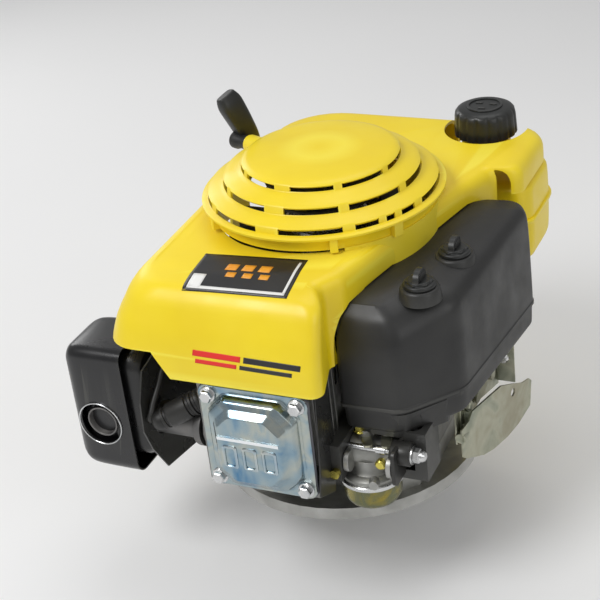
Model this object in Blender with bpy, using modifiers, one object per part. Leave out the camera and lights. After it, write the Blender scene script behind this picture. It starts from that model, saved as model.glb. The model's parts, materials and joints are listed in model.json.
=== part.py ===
"""Small vertical-shaft gasoline engine, built as separate named pieces.

Frame: +Z up along the crankshaft, -Y towards the valve cover, +X towards the air cleaner. The origin
lies on the crankshaft axis in the mounting face. Sizes below are in millimetres; MM turns them into
metres where a mesh is made.
"""
import math

import bmesh
import bpy
from mathutils import Matrix, Vector

MM = 0.001
GAP = 0.3            # clearance between neighbouring pieces
MERGE = 0.00001      # metres, merge distance of the turned shapes

# Driving dimensions
BORE = 68.0
STROKE = 45.0
THROW = STROKE / 2
ROD_LENGTH = 85.0
CYLINDER_Z = 121.0   # height of the cylinder axis above the mounting face
DECK_Y = -126.0      # top face of the cylinder
HEAD_Y = DECK_Y - 2.0
COVER_Y = -178.0     # sealing face of the valve cover
FLANGE_R = 122.0
BOLT_CIRCLE_R = 101.6
CRANK_R = 14.0
PTO_R = 12.7
PTO_LENGTH = 62.0
CAM_X, CAM_Y = 50.0, -33.2
CASE_TOP = 172.0
PAN_TOP = 30.0
SHROUD_TOP = 258.0
RING_Z = 273.0       # top of the stand-off ring of the starter grille
DOME_TOP = 308.0
TANK_TOP = 231.0
CAP_X, CAP_Y = 92.0, 174.0
AIR_SEAM_Z = 138.0
PAD_TOP = 235.5      # flat pads under the cover knobs
VALVE_X = -8.0
FILLER = Vector((-1, 0, 0.8)).normalized()  # the oil filler leans out below the shroud's left edge
FILLER_FOOT = Vector((-62, 25, 88))
VALVE_SPREAD = 15.0  # valves and pushrods lie this far above and below the cylinder axis
ROCKER_X, ROCKER_Y = 8.0, -171.0
PUSHROD_ARM = 22.0
VALVE_ARM = ROCKER_X - VALVE_X
CARB_X, CARB_Y, CARB_Z = 62.0, -126.0, 90.0   # inlet end of the carburettor bore
BOWL_X, BOWL_Y = 75.0, -124.0
THROTTLE_X, CHOKE_X = 73.0, 94.0
INTAKE_X, INTAKE_Y = 48.0, -141.0             # intake port in the side of the head

UP = Vector((0, 0, 1))
FRONT = Vector((0, -1, 0))
RIGHT = Vector((1, 0, 0))
PULL = Vector((-0.933, 0.36, 0)).normalized()      # the starter rope leaves the dome this way
UP_IN_YZ = Matrix(((0, 0, 1, 0), (1, 0, 0, 0), (0, 1, 0, 0), (0, 0, 0, 1)))  # lays a plate's plan in the YZ plane
PLUG = Vector((0.832, 0.368, 0.416)).normalized()  # spark plug axis, into the head


def collection(name):
    made = bpy.data.collections.new(name)
    bpy.context.scene.collection.children.link(made)
    return made


def start_empty():
    for old in list(bpy.data.objects):
        bpy.data.objects.remove(old, do_unlink=True)


start_empty()
ENGINE = collection("small_gasoline_engine")
CUTTERS = collection("cutters")


def material(name, colour, roughness, metallic=0.0):
    made = bpy.data.materials.new(name)
    made.use_nodes = True
    shader = made.node_tree.nodes["Principled BSDF"]
    shader.inputs["Base Color"].default_value = (*colour, 1.0)
    shader.inputs["Roughness"].default_value = roughness
    shader.inputs["Metallic"].default_value = metallic
    return made


YELLOW = material("yellow_plastic", (0.86, 0.68, 0.03), 0.35)
BLACK = material("black_plastic", (0.035, 0.035, 0.033), 0.6)
BLACK_SHEET = material("black_enamel", (0.02, 0.02, 0.02), 0.3)
CAST = material("cast_aluminium", (0.55, 0.55, 0.54), 0.5, 0.9)
STEEL = material("steel", (0.6, 0.6, 0.6), 0.3, 1.0)
IRON = material("cast_iron", (0.3, 0.3, 0.3), 0.5, 1.0)
ZINC = material("zinc_plate", (0.66, 0.72, 0.76), 0.25, 1.0)
GALVANISED = material("galvanised_sheet", (0.6, 0.6, 0.53), 0.4, 1.0)
YELLOW_ZINC = material("yellow_zinc", (0.62, 0.53, 0.2), 0.3, 1.0)
RUBBER = material("black_rubber", (0.03, 0.03, 0.03), 0.7)
CERAMIC = material("white_ceramic", (0.85, 0.85, 0.82), 0.2)
FOAM = material("filter_foam", (0.25, 0.24, 0.2), 0.9)
FIBRE = material("gasket_fibre", (0.2, 0.2, 0.22), 0.8)
ROPE = material("rope_fibre", (0.75, 0.74, 0.7), 0.9)


def spin_to(axis):
    """Rotation that lays local Z along an axis."""
    return UP.rotation_difference(Vector(axis).normalized()).to_matrix().to_4x4()


def place(name, mesh, stuff, at=(0, 0, 0), rotation=None, smooth=True):
    made = bpy.data.objects.new(name, mesh)
    ENGINE.objects.link(made)
    mesh.materials.append(stuff)
    if smooth:
        mesh.shade_smooth()
        mesh.set_sharp_from_angle(angle=math.radians(35))
    made.matrix_world = Matrix.Translation(Vector(at) * MM) @ (rotation or Matrix.Identity(4))
    return made


def from_bmesh(name, bm, stuff, at=(0, 0, 0), rotation=None, smooth=True):
    bmesh.ops.recalc_face_normals(bm, faces=bm.faces)
    mesh = bpy.data.meshes.new(name)
    bm.to_mesh(mesh)
    bm.free()
    return place(name, mesh, stuff, at, rotation, smooth)


def block(name, low, high, stuff, origin=None, bevel=0.0):
    """A box between two corners in millimetres; origin is where its object origin lies."""
    low, high = Vector(low), Vector(high)
    centre = (low + high) / 2
    origin = Vector(origin) if origin else centre
    bm = bmesh.new()
    bmesh.ops.create_cube(bm, size=1.0)
    bmesh.ops.scale(bm, vec=(high - low) * MM, verts=bm.verts)
    bmesh.ops.translate(bm, vec=(centre - origin) * MM, verts=bm.verts)
    made = from_bmesh(name, bm, stuff, origin, smooth=False)
    if bevel:
        add_bevel(made, bevel, 1)
    return made


def bar(name, at, axis, radius, length, stuff, sides=16, tip=None):
    """A round bar that starts at a point and runs along an axis."""
    bm = bmesh.new()
    bmesh.ops.create_cone(bm, cap_ends=True, segments=sides, radius1=radius * MM,
                          radius2=(radius if tip is None else tip) * MM, depth=length * MM)
    bmesh.ops.translate(bm, vec=(0, 0, length * MM / 2), verts=bm.verts)
    return from_bmesh(name, bm, stuff, at, spin_to(axis))


def turned(name, profile, stuff, at=(0, 0, 0), axis=UP, steps=24, closed=False):
    """A turned body: (radius, height) points that run down the outer side."""
    mesh = bpy.data.meshes.new(name)
    count = len(profile)
    edges = [(i, i + 1) for i in range(count - 1)] + ([(count - 1, 0)] if closed else [])
    mesh.from_pydata([(r * MM, 0, h * MM) for r, h in profile], edges, [])
    made = place(name, mesh, stuff, at, spin_to(axis), smooth=False)
    screw = made.modifiers.new("turn", "SCREW")
    screw.steps = steps
    screw.render_steps = steps
    screw.use_merge_vertices = True
    screw.merge_threshold = MERGE
    screw.use_smooth_shade = True
    return made


def plate(name, outline, thickness, stuff, at=(0, 0, 0), rotation=None):
    """A flat plate from a 2D outline, its thickness on local +Z."""
    curve = bpy.data.curves.new(name, "CURVE")
    curve.dimensions = "2D"
    curve.fill_mode = "BOTH"
    curve.extrude = thickness * MM / 2
    spline = curve.splines.new("POLY")
    spline.points.add(len(outline) - 1)
    for point, (x, y) in zip(spline.points, outline):
        point.co = (x * MM, y * MM, 0, 1)
    spline.use_cyclic_u = True
    lift = Matrix.Translation((0, 0, thickness * MM / 2))
    turn = (rotation or Matrix.Identity(4)) @ lift
    return curve_to_mesh(name, curve, stuff, at, turn)


def tube(name, route, radius, stuff, resolution=2):
    """A round tube through points given in millimetres."""
    curve = bpy.data.curves.new(name, "CURVE")
    curve.dimensions = "3D"
    curve.bevel_depth = radius * MM
    curve.bevel_resolution = resolution
    curve.use_fill_caps = True
    spline = curve.splines.new("POLY")
    spline.points.add(len(route) - 1)
    for point, place_at in zip(spline.points, route):
        point.co = (*(Vector(place_at) * MM), 1)
    return curve_to_mesh(name, curve, stuff)


def curve_to_mesh(name, curve, stuff, at=(0, 0, 0), turn=None):
    guide = bpy.data.objects.new(name + "_curve", curve)
    ENGINE.objects.link(guide)
    bpy.context.view_layer.update()
    shape = guide.evaluated_get(bpy.context.evaluated_depsgraph_get())
    mesh = bpy.data.meshes.new_from_object(shape)
    bpy.data.objects.remove(guide, do_unlink=True)
    bm = bmesh.new()
    bm.from_mesh(mesh)
    bmesh.ops.remove_doubles(bm, verts=bm.verts, dist=MERGE)
    bmesh.ops.transform(bm, matrix=turn or Matrix.Identity(4), verts=bm.verts)
    bmesh.ops.recalc_face_normals(bm, faces=bm.faces)
    bm.to_mesh(mesh)
    bm.free()
    mesh.name = name
    mesh.materials.clear()
    return place(name, mesh, stuff, at)


def stack(name, rings, stuff, wall=0.0, smooth=True):
    """A loft through rings of (x, y, z) points; with a wall it is a shell open at the first ring."""
    bm = bmesh.new()
    loops = [[bm.verts.new(Vector(p) * MM) for p in ring] for ring in rings]
    count = len(loops[0])
    for low, high in zip(loops, loops[1:]):
        for i in range(count):
            j = (i + 1) % count
            bm.faces.new((low[i], low[j], high[j], high[i]))
    bm.faces.new(loops[-1])
    if not wall:
        bm.faces.new(loops[0])
    made = from_bmesh(name, bm, stuff, smooth=smooth)
    if wall:
        shell = made.modifiers.new("wall", "SOLIDIFY")
        shell.thickness = wall * MM
        shell.offset = -1.0
        shell.use_even_offset = True
    return made


def add_bevel(made, width, segments):
    edge = made.modifiers.new("edges", "BEVEL")
    edge.width = width * MM
    edge.segments = segments
    edge.limit_method = "ANGLE"
    edge.angle_limit = math.radians(40)


def combine(target, other, operation):
    for holder in list(other.users_collection):
        holder.objects.unlink(other)
    CUTTERS.objects.link(other)
    other.hide_render = True
    other.display_type = "WIRE"
    step = target.modifiers.new(other.name, "BOOLEAN")
    step.operation = operation
    step.object = other
    step.solver = "EXACT"


def cut(target, *others):
    for other in others:
        combine(target, other, "DIFFERENCE")


def join(target, *others):
    for other in others:
        combine(target, other, "UNION")


def arc(cx, cy, radius, start, end, steps):
    """Points on an arc, angles in degrees."""
    angles = [math.radians(start + (end - start) * i / steps) for i in range(steps + 1)]
    return [(cx + radius * math.cos(a), cy + radius * math.sin(a)) for a in angles]


def rounded(corners, steps=3):
    """A closed outline through (x, y, radius) corners, each rounded by an arc."""
    outline = []
    for i, (x, y, radius) in enumerate(corners):
        here = Vector((x, y))
        before = (Vector(corners[i - 1][:2]) - here).normalized()
        after = (Vector(corners[(i + 1) % len(corners)][:2]) - here).normalized()
        if radius <= 0:
            outline.append((x, y))
            continue
        half = before.angle(after) / 2
        reach = radius / math.tan(half)
        centre = here + (before + after).normalized() * (radius / math.sin(half))
        first = here + before * reach - centre
        last = here + after * reach - centre
        sweep = first.angle_signed(last)
        for k in range(steps + 1):
            turn = Matrix.Rotation(-sweep * k / steps, 2)
            outline.append(tuple(centre + turn @ first))
    return outline


def at_height(outline, z):
    return [(x, y, z) for x, y in outline]


def move_origin(made, at):
    """Puts an object's origin at a point without moving its shape."""
    target = Vector(at) * MM
    shift = made.matrix_world.inverted() @ target
    made.data.transform(Matrix.Translation(-shift))
    made.matrix_world = Matrix.Translation(target) @ made.matrix_world.to_3x3().to_4x4()


# Crankcase, oil pan and bearings

def case_outline(inset=0.0, front=-84.0, right=100.0):
    """Plan of the crankcase; it is wide and deep only round the camshaft gear."""
    return rounded([(-76 + inset, front + inset, 24 - inset), (right - inset, front + inset, 40 - inset),
                    (right - 4 - inset, 76 - inset, 40 - inset), (-76 + inset, 76 - inset, 40 - inset)])


def upper_outline(inset=0.0):
    return case_outline(inset, front=-70.0, right=80.0)


def make_oil_pan():
    pan = bar("oil_pan", (0, 0, 0), UP, FLANGE_R, 12, CAST, sides=48)
    join(pan, stack("pan_wall", [at_height(case_outline(), 6), at_height(case_outline(), PAN_TOP)], CAST))
    cut(pan, stack("pan_hollow", [at_height(case_outline(7), 14), at_height(case_outline(7), 40)], CAST))
    join(pan, bar("pan_boss", (0, 0, 6), UP, 32, PAN_TOP - 6, CAST))
    cut(pan, bar("pan_shaft_hole", (0, 0, -5), UP, CRANK_R + 0.6, 60, CAST),
        bar("pan_bearing_seat", (0, 0, 14), UP, 24.8, 40, CAST, sides=24))
    for i in range(3):
        angle = math.radians(90 + 120 * i)
        hole = (BOLT_CIRCLE_R * math.cos(angle), BOLT_CIRCLE_R * math.sin(angle), -5)
        cut(pan, bar(f"pan_bolt_hole_{i}", hole, UP, 4.2, 30, CAST, sides=12))
    cut(pan, bar("pan_drain_hole", (-84, 0, 20), RIGHT, 5 + GAP, 20, CAST, sides=12))


def make_crankcase():
    case = stack("crankcase", [at_height(case_outline(), PAN_TOP + GAP), at_height(case_outline(), 64),
                               at_height(upper_outline(), 74), at_height(upper_outline(), 160),
                               at_height(upper_outline(12), CASE_TOP)], CAST)
    cut(case, stack("case_hollow", [at_height(case_outline(7), 0), at_height(case_outline(7), 64),
                                    at_height(upper_outline(7), 71), at_height(upper_outline(7), 158)], CAST))
    barrel_start = -55
    join(case, bar("barrel", (0, barrel_start, CYLINDER_Z), FRONT, 41, barrel_start - DECK_Y, CAST, sides=32),
         block("pushrod_tower", (30, -124, 95), (48, -98, 147), CAST),
         block("pushrod_tower_foot", (30, -99, 95), (57, -66, 147), CAST))
    for i in range(6):
        y = -80 - 8.4 * i
        join(case, block(f"fin_{i}", (-52, y - 3, 72), (48, y, 170), CAST))
    join(case, block("deck", (-50, DECK_Y, 74), (48, DECK_Y + 5, 168), CAST))
    cut(case, bar("bore", (0, -40, CYLINDER_Z), FRONT, BORE / 2 + GAP, 100, CAST, sides=24),
        pushrod_bore("intake", 1), pushrod_bore("exhaust", -1), tappet_space("intake", 1), tappet_space("exhaust", -1),
        bar("top_bearing_seat", (0, 0, 160), UP, 24.8, 40, CAST, sides=24),
        bar("top_shaft_hole", (0, 0, 140), UP, 20, 40, CAST))
    join(case, bar("filler_boss", FILLER_FOOT, FILLER, 13, 50, CAST, sides=20))
    cut(case, bar("filler_hole", FILLER_FOOT - FILLER * 14, FILLER, 9 + GAP, 90, CAST, sides=20))


def make_bearings():
    for name, z in (("upper_bearing", 160 + GAP), ("lower_bearing", 14 + GAP)):
        inner, outer, width = CRANK_R + 0.4, 24, 11.5
        turned(name, [(outer, z + width), (outer, z), (inner, z), (inner, z + width)], STEEL, closed=True)


def make_drain_plug():
    plug = bar("drain_plug", (-83.5, 0, 20), RIGHT, 5, 14, STEEL, sides=12)
    join(plug, bar("drain_plug_head", (-83.5, 0, 20), RIGHT, 9, 6, STEEL, sides=6))


# Crank, rod, piston and valve train

def web_outline():
    return arc(0, 0, 43.5, -155, -25, 14) + arc(0, THROW, 15.5, 0, 180, 8)


def make_crank():
    lower_top, upper_bottom = CYLINDER_Z - 11, CYLINDER_Z + 11 + GAP
    web = 16
    lower = turned("crankshaft_lower", [(0, lower_top - 1), (16, lower_top - 1), (16, 63), (19.7, 63),
                                        (19.7, 51), (CRANK_R, 51), (CRANK_R, 2), (PTO_R, 1),
                                        (PTO_R, 1 - PTO_LENGTH), (PTO_R - 1, -PTO_LENGTH), (0, -PTO_LENGTH)],
                   STEEL)
    join(lower, plate("lower_web", web_outline(), web, STEEL, (0, 0, lower_top - web)))
    cut(lower, block("keyway", (-2.4, -PTO_R - 5, -PTO_LENGTH - 5), (2.4, -PTO_R + 2.6, -18), STEEL),
        bar("end_thread", (0, 0, -PTO_LENGTH - 5), UP, 4, 27, STEEL, sides=12))
    upper = turned("crankshaft_upper", [(0, 250), (7, 250), (7, 213), (11, 212), (12, 181), (CRANK_R, 179),
                                        (CRANK_R, upper_bottom + 1), (0, upper_bottom + 1)], STEEL)
    join(upper, plate("upper_web", web_outline(), web, STEEL, (0, 0, upper_bottom)))


def make_flywheel():
    turned("flywheel", [(30, 210), (86, 210), (92, 206), (92, 186), (86, 182), (12.6, 182), (11.6, 212),
                        (28, 212)], IRON, closed=True, steps=40)
    fan = turned("cooling_fan", [(90, 217), (90, 213 + GAP), (40, 213 + GAP), (40, 217)], BLACK, closed=True,
                 steps=40)
    for i in range(12):
        angle = math.radians(30 * i)
        blade = block(f"fan_blade_{i}", (60, -1.5, 215), (88, 1.5, 243), BLACK, origin=(0, 0, 0))
        blade.rotation_euler = (0, 0, angle)
        join(fan, blade)
    turned("starter_cup", [(34, 217.5), (38, 217.5), (38, 242), (35.5, 242), (35.5, 220), (9, 220), (9, 217.5)][::-1],
           STEEL, closed=True)
    nut = bar("flywheel_nut", (0, 0, 220 + GAP), UP, 13, 12, STEEL, sides=6)
    cut(nut, bar("nut_hole", (0, 0, 210), UP, 7 + GAP, 40, STEEL, sides=16))


def make_camshaft():
    cam = turned("camshaft", [(0, 156), (8, 156), (8, 62), (39.9, 62), (39.9, 52), (8, 52), (8, 18), (0, 18)],
                 STEEL, at=(CAM_X, CAM_Y, 0))
    for name, side in (("intake_lobe", 1), ("exhaust_lobe", -1)):
        z = CYLINDER_Z + side * VALVE_SPREAD
        join(cam, bar(name, (CAM_X + 2.5, CAM_Y, z - 4), UP, 11.5, 8, STEEL, sides=20))


def make_rod_and_piston():
    wrist_y = THROW - ROD_LENGTH
    half = 9
    rod = bar("connecting_rod", (0, THROW, CYLINDER_Z - half), UP, 17.5, 2 * half, CAST)
    join(rod, bar("small_end", (0, wrist_y, CYLINDER_Z - half), UP, 12, 2 * half, CAST),
         block("shank", (-6, wrist_y + 8, CYLINDER_Z - 5), (6, THROW - 12, CYLINDER_Z + 5), CAST))
    cut(rod, bar("big_end_bore", (0, THROW, CYLINDER_Z - 20), UP, 13 + GAP, 40, CAST),
        bar("small_end_bore", (0, wrist_y, CYLINDER_Z - 20), UP, 9 + GAP, 40, CAST))
    move_origin(rod, (0, wrist_y, CYLINDER_Z))
    pin = bar("crank_pin", (0, THROW, CYLINDER_Z - 11 + GAP), UP, 13, 22 - GAP, STEEL)
    move_origin(pin, (0, wrist_y, CYLINDER_Z))
    crown, skirt = -wrist_y + 18, -wrist_y - 14
    piston = turned("piston", [(0, crown), (BORE / 2 - 0.3, crown), (BORE / 2 - 0.3, skirt), (28, skirt),
                               (28, crown - 5), (0, crown - 5)], CAST, at=(0, 0, CYLINDER_Z), axis=FRONT)
    for name, side in (("upper_boss", 1), ("lower_boss", -1)):
        z = sorted((CYLINDER_Z + side * 11, CYLINDER_Z + side * 30))
        join(piston, block(name, (-13, wrist_y - 15, z[0]), (13, wrist_y + 12, z[1]), CAST))
    cut(piston, bar("pin_bore", (0, wrist_y, CYLINDER_Z - 50), UP, 9 + GAP, 100, CAST))
    bar("piston_pin", (0, wrist_y, CYLINDER_Z - 28), UP, 9, 56, STEEL)


def pushrod_ends(side):
    z = CYLINDER_Z + side * VALVE_SPREAD
    return Vector((CAM_X, CAM_Y - 15, z)), Vector((ROCKER_X + PUSHROD_ARM, ROCKER_Y + 4.5, z))


def pushrod_bore(name, side):
    foot, top = pushrod_ends(side)
    way = (top - foot).normalized()
    return bar(name + "_pushrod_bore", foot + way * 7, way, 4.4, (top - foot).length, CAST, sides=12)


def tappet_space(name, side):
    foot, top = pushrod_ends(side)
    return bar(name + "_tappet_space", foot, top - foot, 9.6, 11.4, CAST, sides=16)


def make_valve_train():
    for name, side in (("intake", 1), ("exhaust", -1)):
        z = CYLINDER_Z + side * VALVE_SPREAD
        rocker = block(name + "_rocker", (VALVE_X - 4, ROCKER_Y - 4, z - 5),
                       (ROCKER_X + PUSHROD_ARM + 4, ROCKER_Y + 4, z + 5), STEEL,
                       origin=(ROCKER_X, ROCKER_Y, z), bevel=1.5)
        join(rocker, bar(name + "_rocker_hub", (ROCKER_X, ROCKER_Y, z - 6), UP, 8, 12, STEEL))
        foot, top = pushrod_ends(side)
        length = (top - foot).length
        turned(name + "_pushrod", [(0, length), (2.5, length), (2.5, 6), (9, 6), (9, 0), (0, 0)],
               STEEL, at=foot, axis=top - foot, steps=16)
        head_y, tip_y = HEAD_Y - 3.5, ROCKER_Y + 4.6
        stem = head_y - tip_y
        turned(name + "_valve", [(0, stem), (2.75, stem), (2.75, stem - 3), (8, stem - 3), (8, stem - 7),
                                 (2.75, stem - 7), (2.75, 6), (12.5, 2), (12.5, 0), (0, 0)],
               STEEL, at=(VALVE_X, head_y, z), axis=FRONT, steps=20)


# Head, gasket and valve cover

def make_head():
    head = block("cylinder_head", (-50, COVER_Y + GAP, 74), (48, HEAD_Y, 168), CAST, bevel=3)
    for i in range(4):
        y = -132 - 9 * i
        join(head, block(f"head_fin_{i}", (-56, y - 3, 68), (48, y, 172), CAST))
    join(head, bar("exhaust_port", (-40, -146, CYLINDER_Z - VALVE_SPREAD), -RIGHT, 17, 22, CAST))
    cut(head, block("rocker_chamber", (-38, -200, 84), (38, -149, 158), CAST),
        pushrod_bore("intake_head", 1), pushrod_bore("exhaust_head", -1),
        bar("combustion_chamber", (0, -120, CYLINDER_Z), FRONT, 32, 18, CAST),
        bar("intake_bore", (INTAKE_X - 22, INTAKE_Y, CARB_Z), RIGHT, 9, 40, CAST),
        bar("plug_seat", PLUG_FOOT - PLUG * 16, PLUG, 12.5, 16.5, CAST),
        bar("exhaust_bore", (-80, -146, CYLINDER_Z - VALVE_SPREAD), RIGHT, 12, 45, CAST))
    for name, side in (("intake", 1), ("exhaust", -1)):
        cut(head, bar(name + "_guide", (VALVE_X, -130, CYLINDER_Z + side * VALVE_SPREAD), FRONT, 2.75 + GAP,
                      40, CAST, sides=16))
    cut(head, bar("plug_thread", PLUG_FOOT, PLUG, 7 + GAP, 40, CAST, sides=20))
    for x, z in cover_bolts():
        cut(head, bar("bolt_hole", (x, -190, z), -FRONT, 3.3, 34, CAST, sides=12))


PLUG_FOOT = Vector((-52, -150, 142))


def cover_bolts():
    reach_x, reach_z = 40, 41
    return [(sx * reach_x, CYLINDER_Z + sz * reach_z) for sz in (1, -1) for sx in (-1, 1)]


def make_gasket():
    half = 46
    sheet = block("head_gasket", (-half, HEAD_Y + GAP, CYLINDER_Z - half), (half, DECK_Y - GAP, CYLINDER_Z + half),
                  FIBRE)
    cut(sheet, bar("gasket_bore", (0, -120, CYLINDER_Z), FRONT, 36, 14, FIBRE),
        pushrod_bore("intake_gasket", 1), pushrod_bore("exhaust_gasket", -1))


def octagon(half_x, half_z, chamfer, y):
    hx, hz, c = half_x, half_z, chamfer
    points = [(hx, -hz + c), (hx, hz - c), (hx - c, hz), (-hx + c, hz), (-hx, hz - c), (-hx, -hz + c),
              (-hx + c, -hz), (hx - c, -hz)]
    return [(x, y, CYLINDER_Z + z) for x, z in points]


def make_valve_cover():
    face = COVER_Y - GAP
    rings = [octagon(50, 50, 12, face - 0.2), octagon(50, 50, 12, face - 2), octagon(37, 40, 10, face - 2.2),
             octagon(36, 39, 10, face - 10), octagon(31, 34, 10, face - 13), octagon(30, 33, 12, face - 18),
             octagon(26, 29, 12, face - 20)]
    cover = stack("valve_cover", rings, ZINC, wall=1.6, smooth=False)
    for x, z in cover_bolts():
        cut(cover, bar("cover_bolt_hole", (x, -190, z), -FRONT, 3.3, 34, ZINC, sides=12))


def make_cover_bolts():
    for i, (x, z) in enumerate(cover_bolts()):
        y = COVER_Y - GAP - 2 - GAP
        bolt = bar(f"valve_cover_bolt_{i + 1}", (x, y, z), FRONT, 7, 1.5, STEEL, sides=16)
        join(bolt, bar(f"bolt_hex_{i}", (x, y - 1, z), FRONT, 5.6, 5, STEEL, sides=6),
             bar(f"bolt_shank_{i}", (x, y - 1, z), -FRONT, 3, 16, STEEL, sides=12))


# Cooling shroud, starter and fuel tank

def shroud_outline(flare, inset=0.0):
    """Plan of the shroud; the flare grows its front and left sides only."""
    left, front = -112 - flare + inset, -168 - 0.8 * flare + inset
    right = 64 - inset
    return rounded([(left, front, 30), (right, front, 22), (104 - inset, 48, 22), (124 - inset, 88, 14), (150 - inset, 92, 12),
                    (150 - inset, 190 - inset, 34), (-106 + inset, 190 - inset, 50), (left, 40, 60)], steps=4)


def make_shroud():
    rings = [at_height(shroud_outline(flare, inset), z) for flare, inset, z in (
        (22, 0, 175), (20, 0, 200), (14, 0, 222), (5, 0, 241), (0, 3, 250), (0, 9, 255.5), (0, 17, SHROUD_TOP))]
    rings = [slope_front(ring) for ring in rings]
    shroud = stack("fan_shroud", rings, YELLOW, wall=2.2)
    dome_hole = bar("dome_hole", (0, 0, 230), UP, 96, 60, YELLOW, sides=48)
    side_step = plate("side_step", [(-200, 150), (-62, 150), (-66, 168), (-86, 198), (-200, 198)], 300, YELLOW,
                      (0, 110, 0), Matrix.Rotation(math.radians(90), 4, "X"))
    back_step = block("back_step", (-250, 90, 100), (250, 260, TANK_TOP + 1.2), YELLOW)
    air_space = stack("air_space", [[(x, y, z - 60) for x, y, z in air_rings(1.5)[0]]] + air_rings(1.5), YELLOW)
    cap_recess = bar("cap_recess", (CAP_X, CAP_Y, 225), UP, 39, 60, YELLOW, sides=40)
    cut(shroud, dome_hole, side_step, back_step, air_space, cap_recess)


def slope_front(ring):
    """The top of the shroud falls gently towards the front edge."""
    start, drop = -100.0, 0.12
    return [(x, y, z + min(0.0, (y - start) * drop) * max(0.0, (z - 200) / 58)) for x, y, z in ring]


def make_starter_housing():
    ring, foot = RING_Z, SHROUD_TOP + GAP
    profile = [(0, DOME_TOP), (63, 305.3), (69, 302), (69.5, 297.6), (84, 292.4), (86.5, 285), (98, 281),
               (101, ring), (107, ring - 0.3), (107, ring - 3), (99.3, ring - 3), (99.3, foot), (96.8, foot),
               (96.8, 277), (84, 282.4), (83.6, 289.4), (66.6, 295.8), (66, 302.8), (0, 305.6)]
    housing = turned("starter_housing", profile, YELLOW, steps=36)
    join(housing, bar("rope_guide", PULL * 62 + UP * 290, PULL, 11, 30, YELLOW, sides=16))
    join(housing, bar("spring_post", (0, 0, 262), UP, 7, 45, YELLOW, sides=12))
    slots = turned("slots", [(76, 300.6), (76, 298), (60, 298), (60, 300.6)], YELLOW, steps=36, closed=True)
    for name, inner, outer, low, high in (("slots_2", 79, 92, 285.8, 289.6), ("slots_3", 92, 103, 274, 277.8)):
        join(slots, turned(name, [(outer, high), (outer, low), (inner, low), (inner, high)], YELLOW, steps=36,
                           closed=True))
    for i in range(9):
        angle = -95 + 40 * i
        width = 8 if i == 0 else 3
        rib = block(f"rib_{i}", (50, -width, 260), (120, width, 310), YELLOW, origin=(0, 0, 0))
        rib.rotation_euler = (0, 0, math.radians(angle))
        cut(slots, rib)
    cut(slots, bar("rope_guide_keep", PULL * 50 + UP * 290, PULL, 13, 60, YELLOW, sides=20))
    cut(housing, slots, bar("rope_hole", PULL * 50 + UP * 290, PULL, 4, 60, YELLOW, sides=12))


def make_starter_reel():
    reel = turned("starter_reel", [(9, 286), (52, 286), (52, 284), (40, 282), (40, 272), (52, 270), (52, 268),
                                   (9, 268)], BLACK, closed=True)
    cut(reel, turned("spring_pocket", [(32, 300), (32, 280), (12, 280), (12, 300)], BLACK, closed=True))
    turned("starter_rope", [(49, 281.5), (49, 272.5), (40 + GAP, 272.5), (40 + GAP, 281.5)], ROPE, closed=True)


def make_starter_handle():
    centre = PULL * 118 + UP * 297
    lean = math.radians(28)
    side = PULL.cross(UP)
    grip = (UP * math.cos(lean) + side * math.sin(lean)).normalized()
    turn = Matrix((grip.cross(PULL), PULL, grip)).transposed().to_4x4()
    bm = bmesh.new()
    bmesh.ops.create_cube(bm, size=1.0)
    bmesh.ops.scale(bm, vec=Vector((18, 15, 82)) * MM, verts=bm.verts)
    handle = from_bmesh("starter_handle", bm, BLACK, centre, turn, smooth=False)
    add_bevel(handle, 3, 2)
    join(handle, bar("handle_neck", PULL * (92 + GAP) + UP * 290, PULL, 6, 22, BLACK, sides=16))


def make_fuel_tank():
    def ring(grow, z):
        return at_height(rounded([(-110 - grow, 106 - grow, 16), (152 + grow, 106 - grow, 16),
                                  (152 + grow, 198 + grow, 34), (-110 - grow, 198 + grow, 44)]), z)
    tank = stack("fuel_tank", [ring(-14, 150), ring(-3, 156), ring(0, 166), ring(0, 222), ring(-3, TANK_TOP - 1.5),
                               ring(-10, TANK_TOP)], YELLOW)
    join(tank, bar("filler_neck", (CAP_X, CAP_Y, 225), UP, 23, 34, YELLOW))
    cut(tank, stack("tank_hollow", [ring(-17, 153), ring(-5, 160), ring(-3, 170), ring(-3, 220), ring(-8, 227)],
                    YELLOW),
        bar("filler_bore", (CAP_X, CAP_Y, 220), UP, 19, 60, YELLOW))
    join(tank, block("tank_bracket", (-40, 76.2, 158), (60, 110, 172), YELLOW))


def make_fuel_cap():
    at = (CAP_X, CAP_Y, 0)
    turned("fuel_cap", [(0, 281), (22, 280.2), (27, 278), (28.5, 270), (29.5, 254), (24.2, 254), (24.2, 272),
                        (0, 272)], BLACK, at=at, steps=36)
    turned("fuel_cap_seal", [(23, 262), (23, 259.5), (13, 259.5), (13, 262)], RUBBER, at=at, closed=True)


# Air cleaner and carburettor

def air_outline(grow=0.0):
    g = grow
    return rounded([(51 - g, -136 - g, 14), (111 + g * 0.6, -136 - g, 20), (151 + g, -88, 26), (166 + g, 64, 12),
                    (158 + g * 0.5, 78 + g, 10), (128, 76 + g, 14), (108 - g, 47, 20), (67.5 - g, -120, 20)])


def tub_outline(grow=0.0):
    """Plan of the base below the sealing plate: it is narrow behind its front corner."""
    g = grow
    return rounded([(54 - g, -133 - g, 12), (110 + g, -133 - g, 18), (140 + g, -98, 8), (126 + g, -70, 8),
                    (126 + g, 58 + g, 4), (106 - g, 58 + g, 4), (98 - g, 0, 20), (74 - g, -112, 20)])


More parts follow.
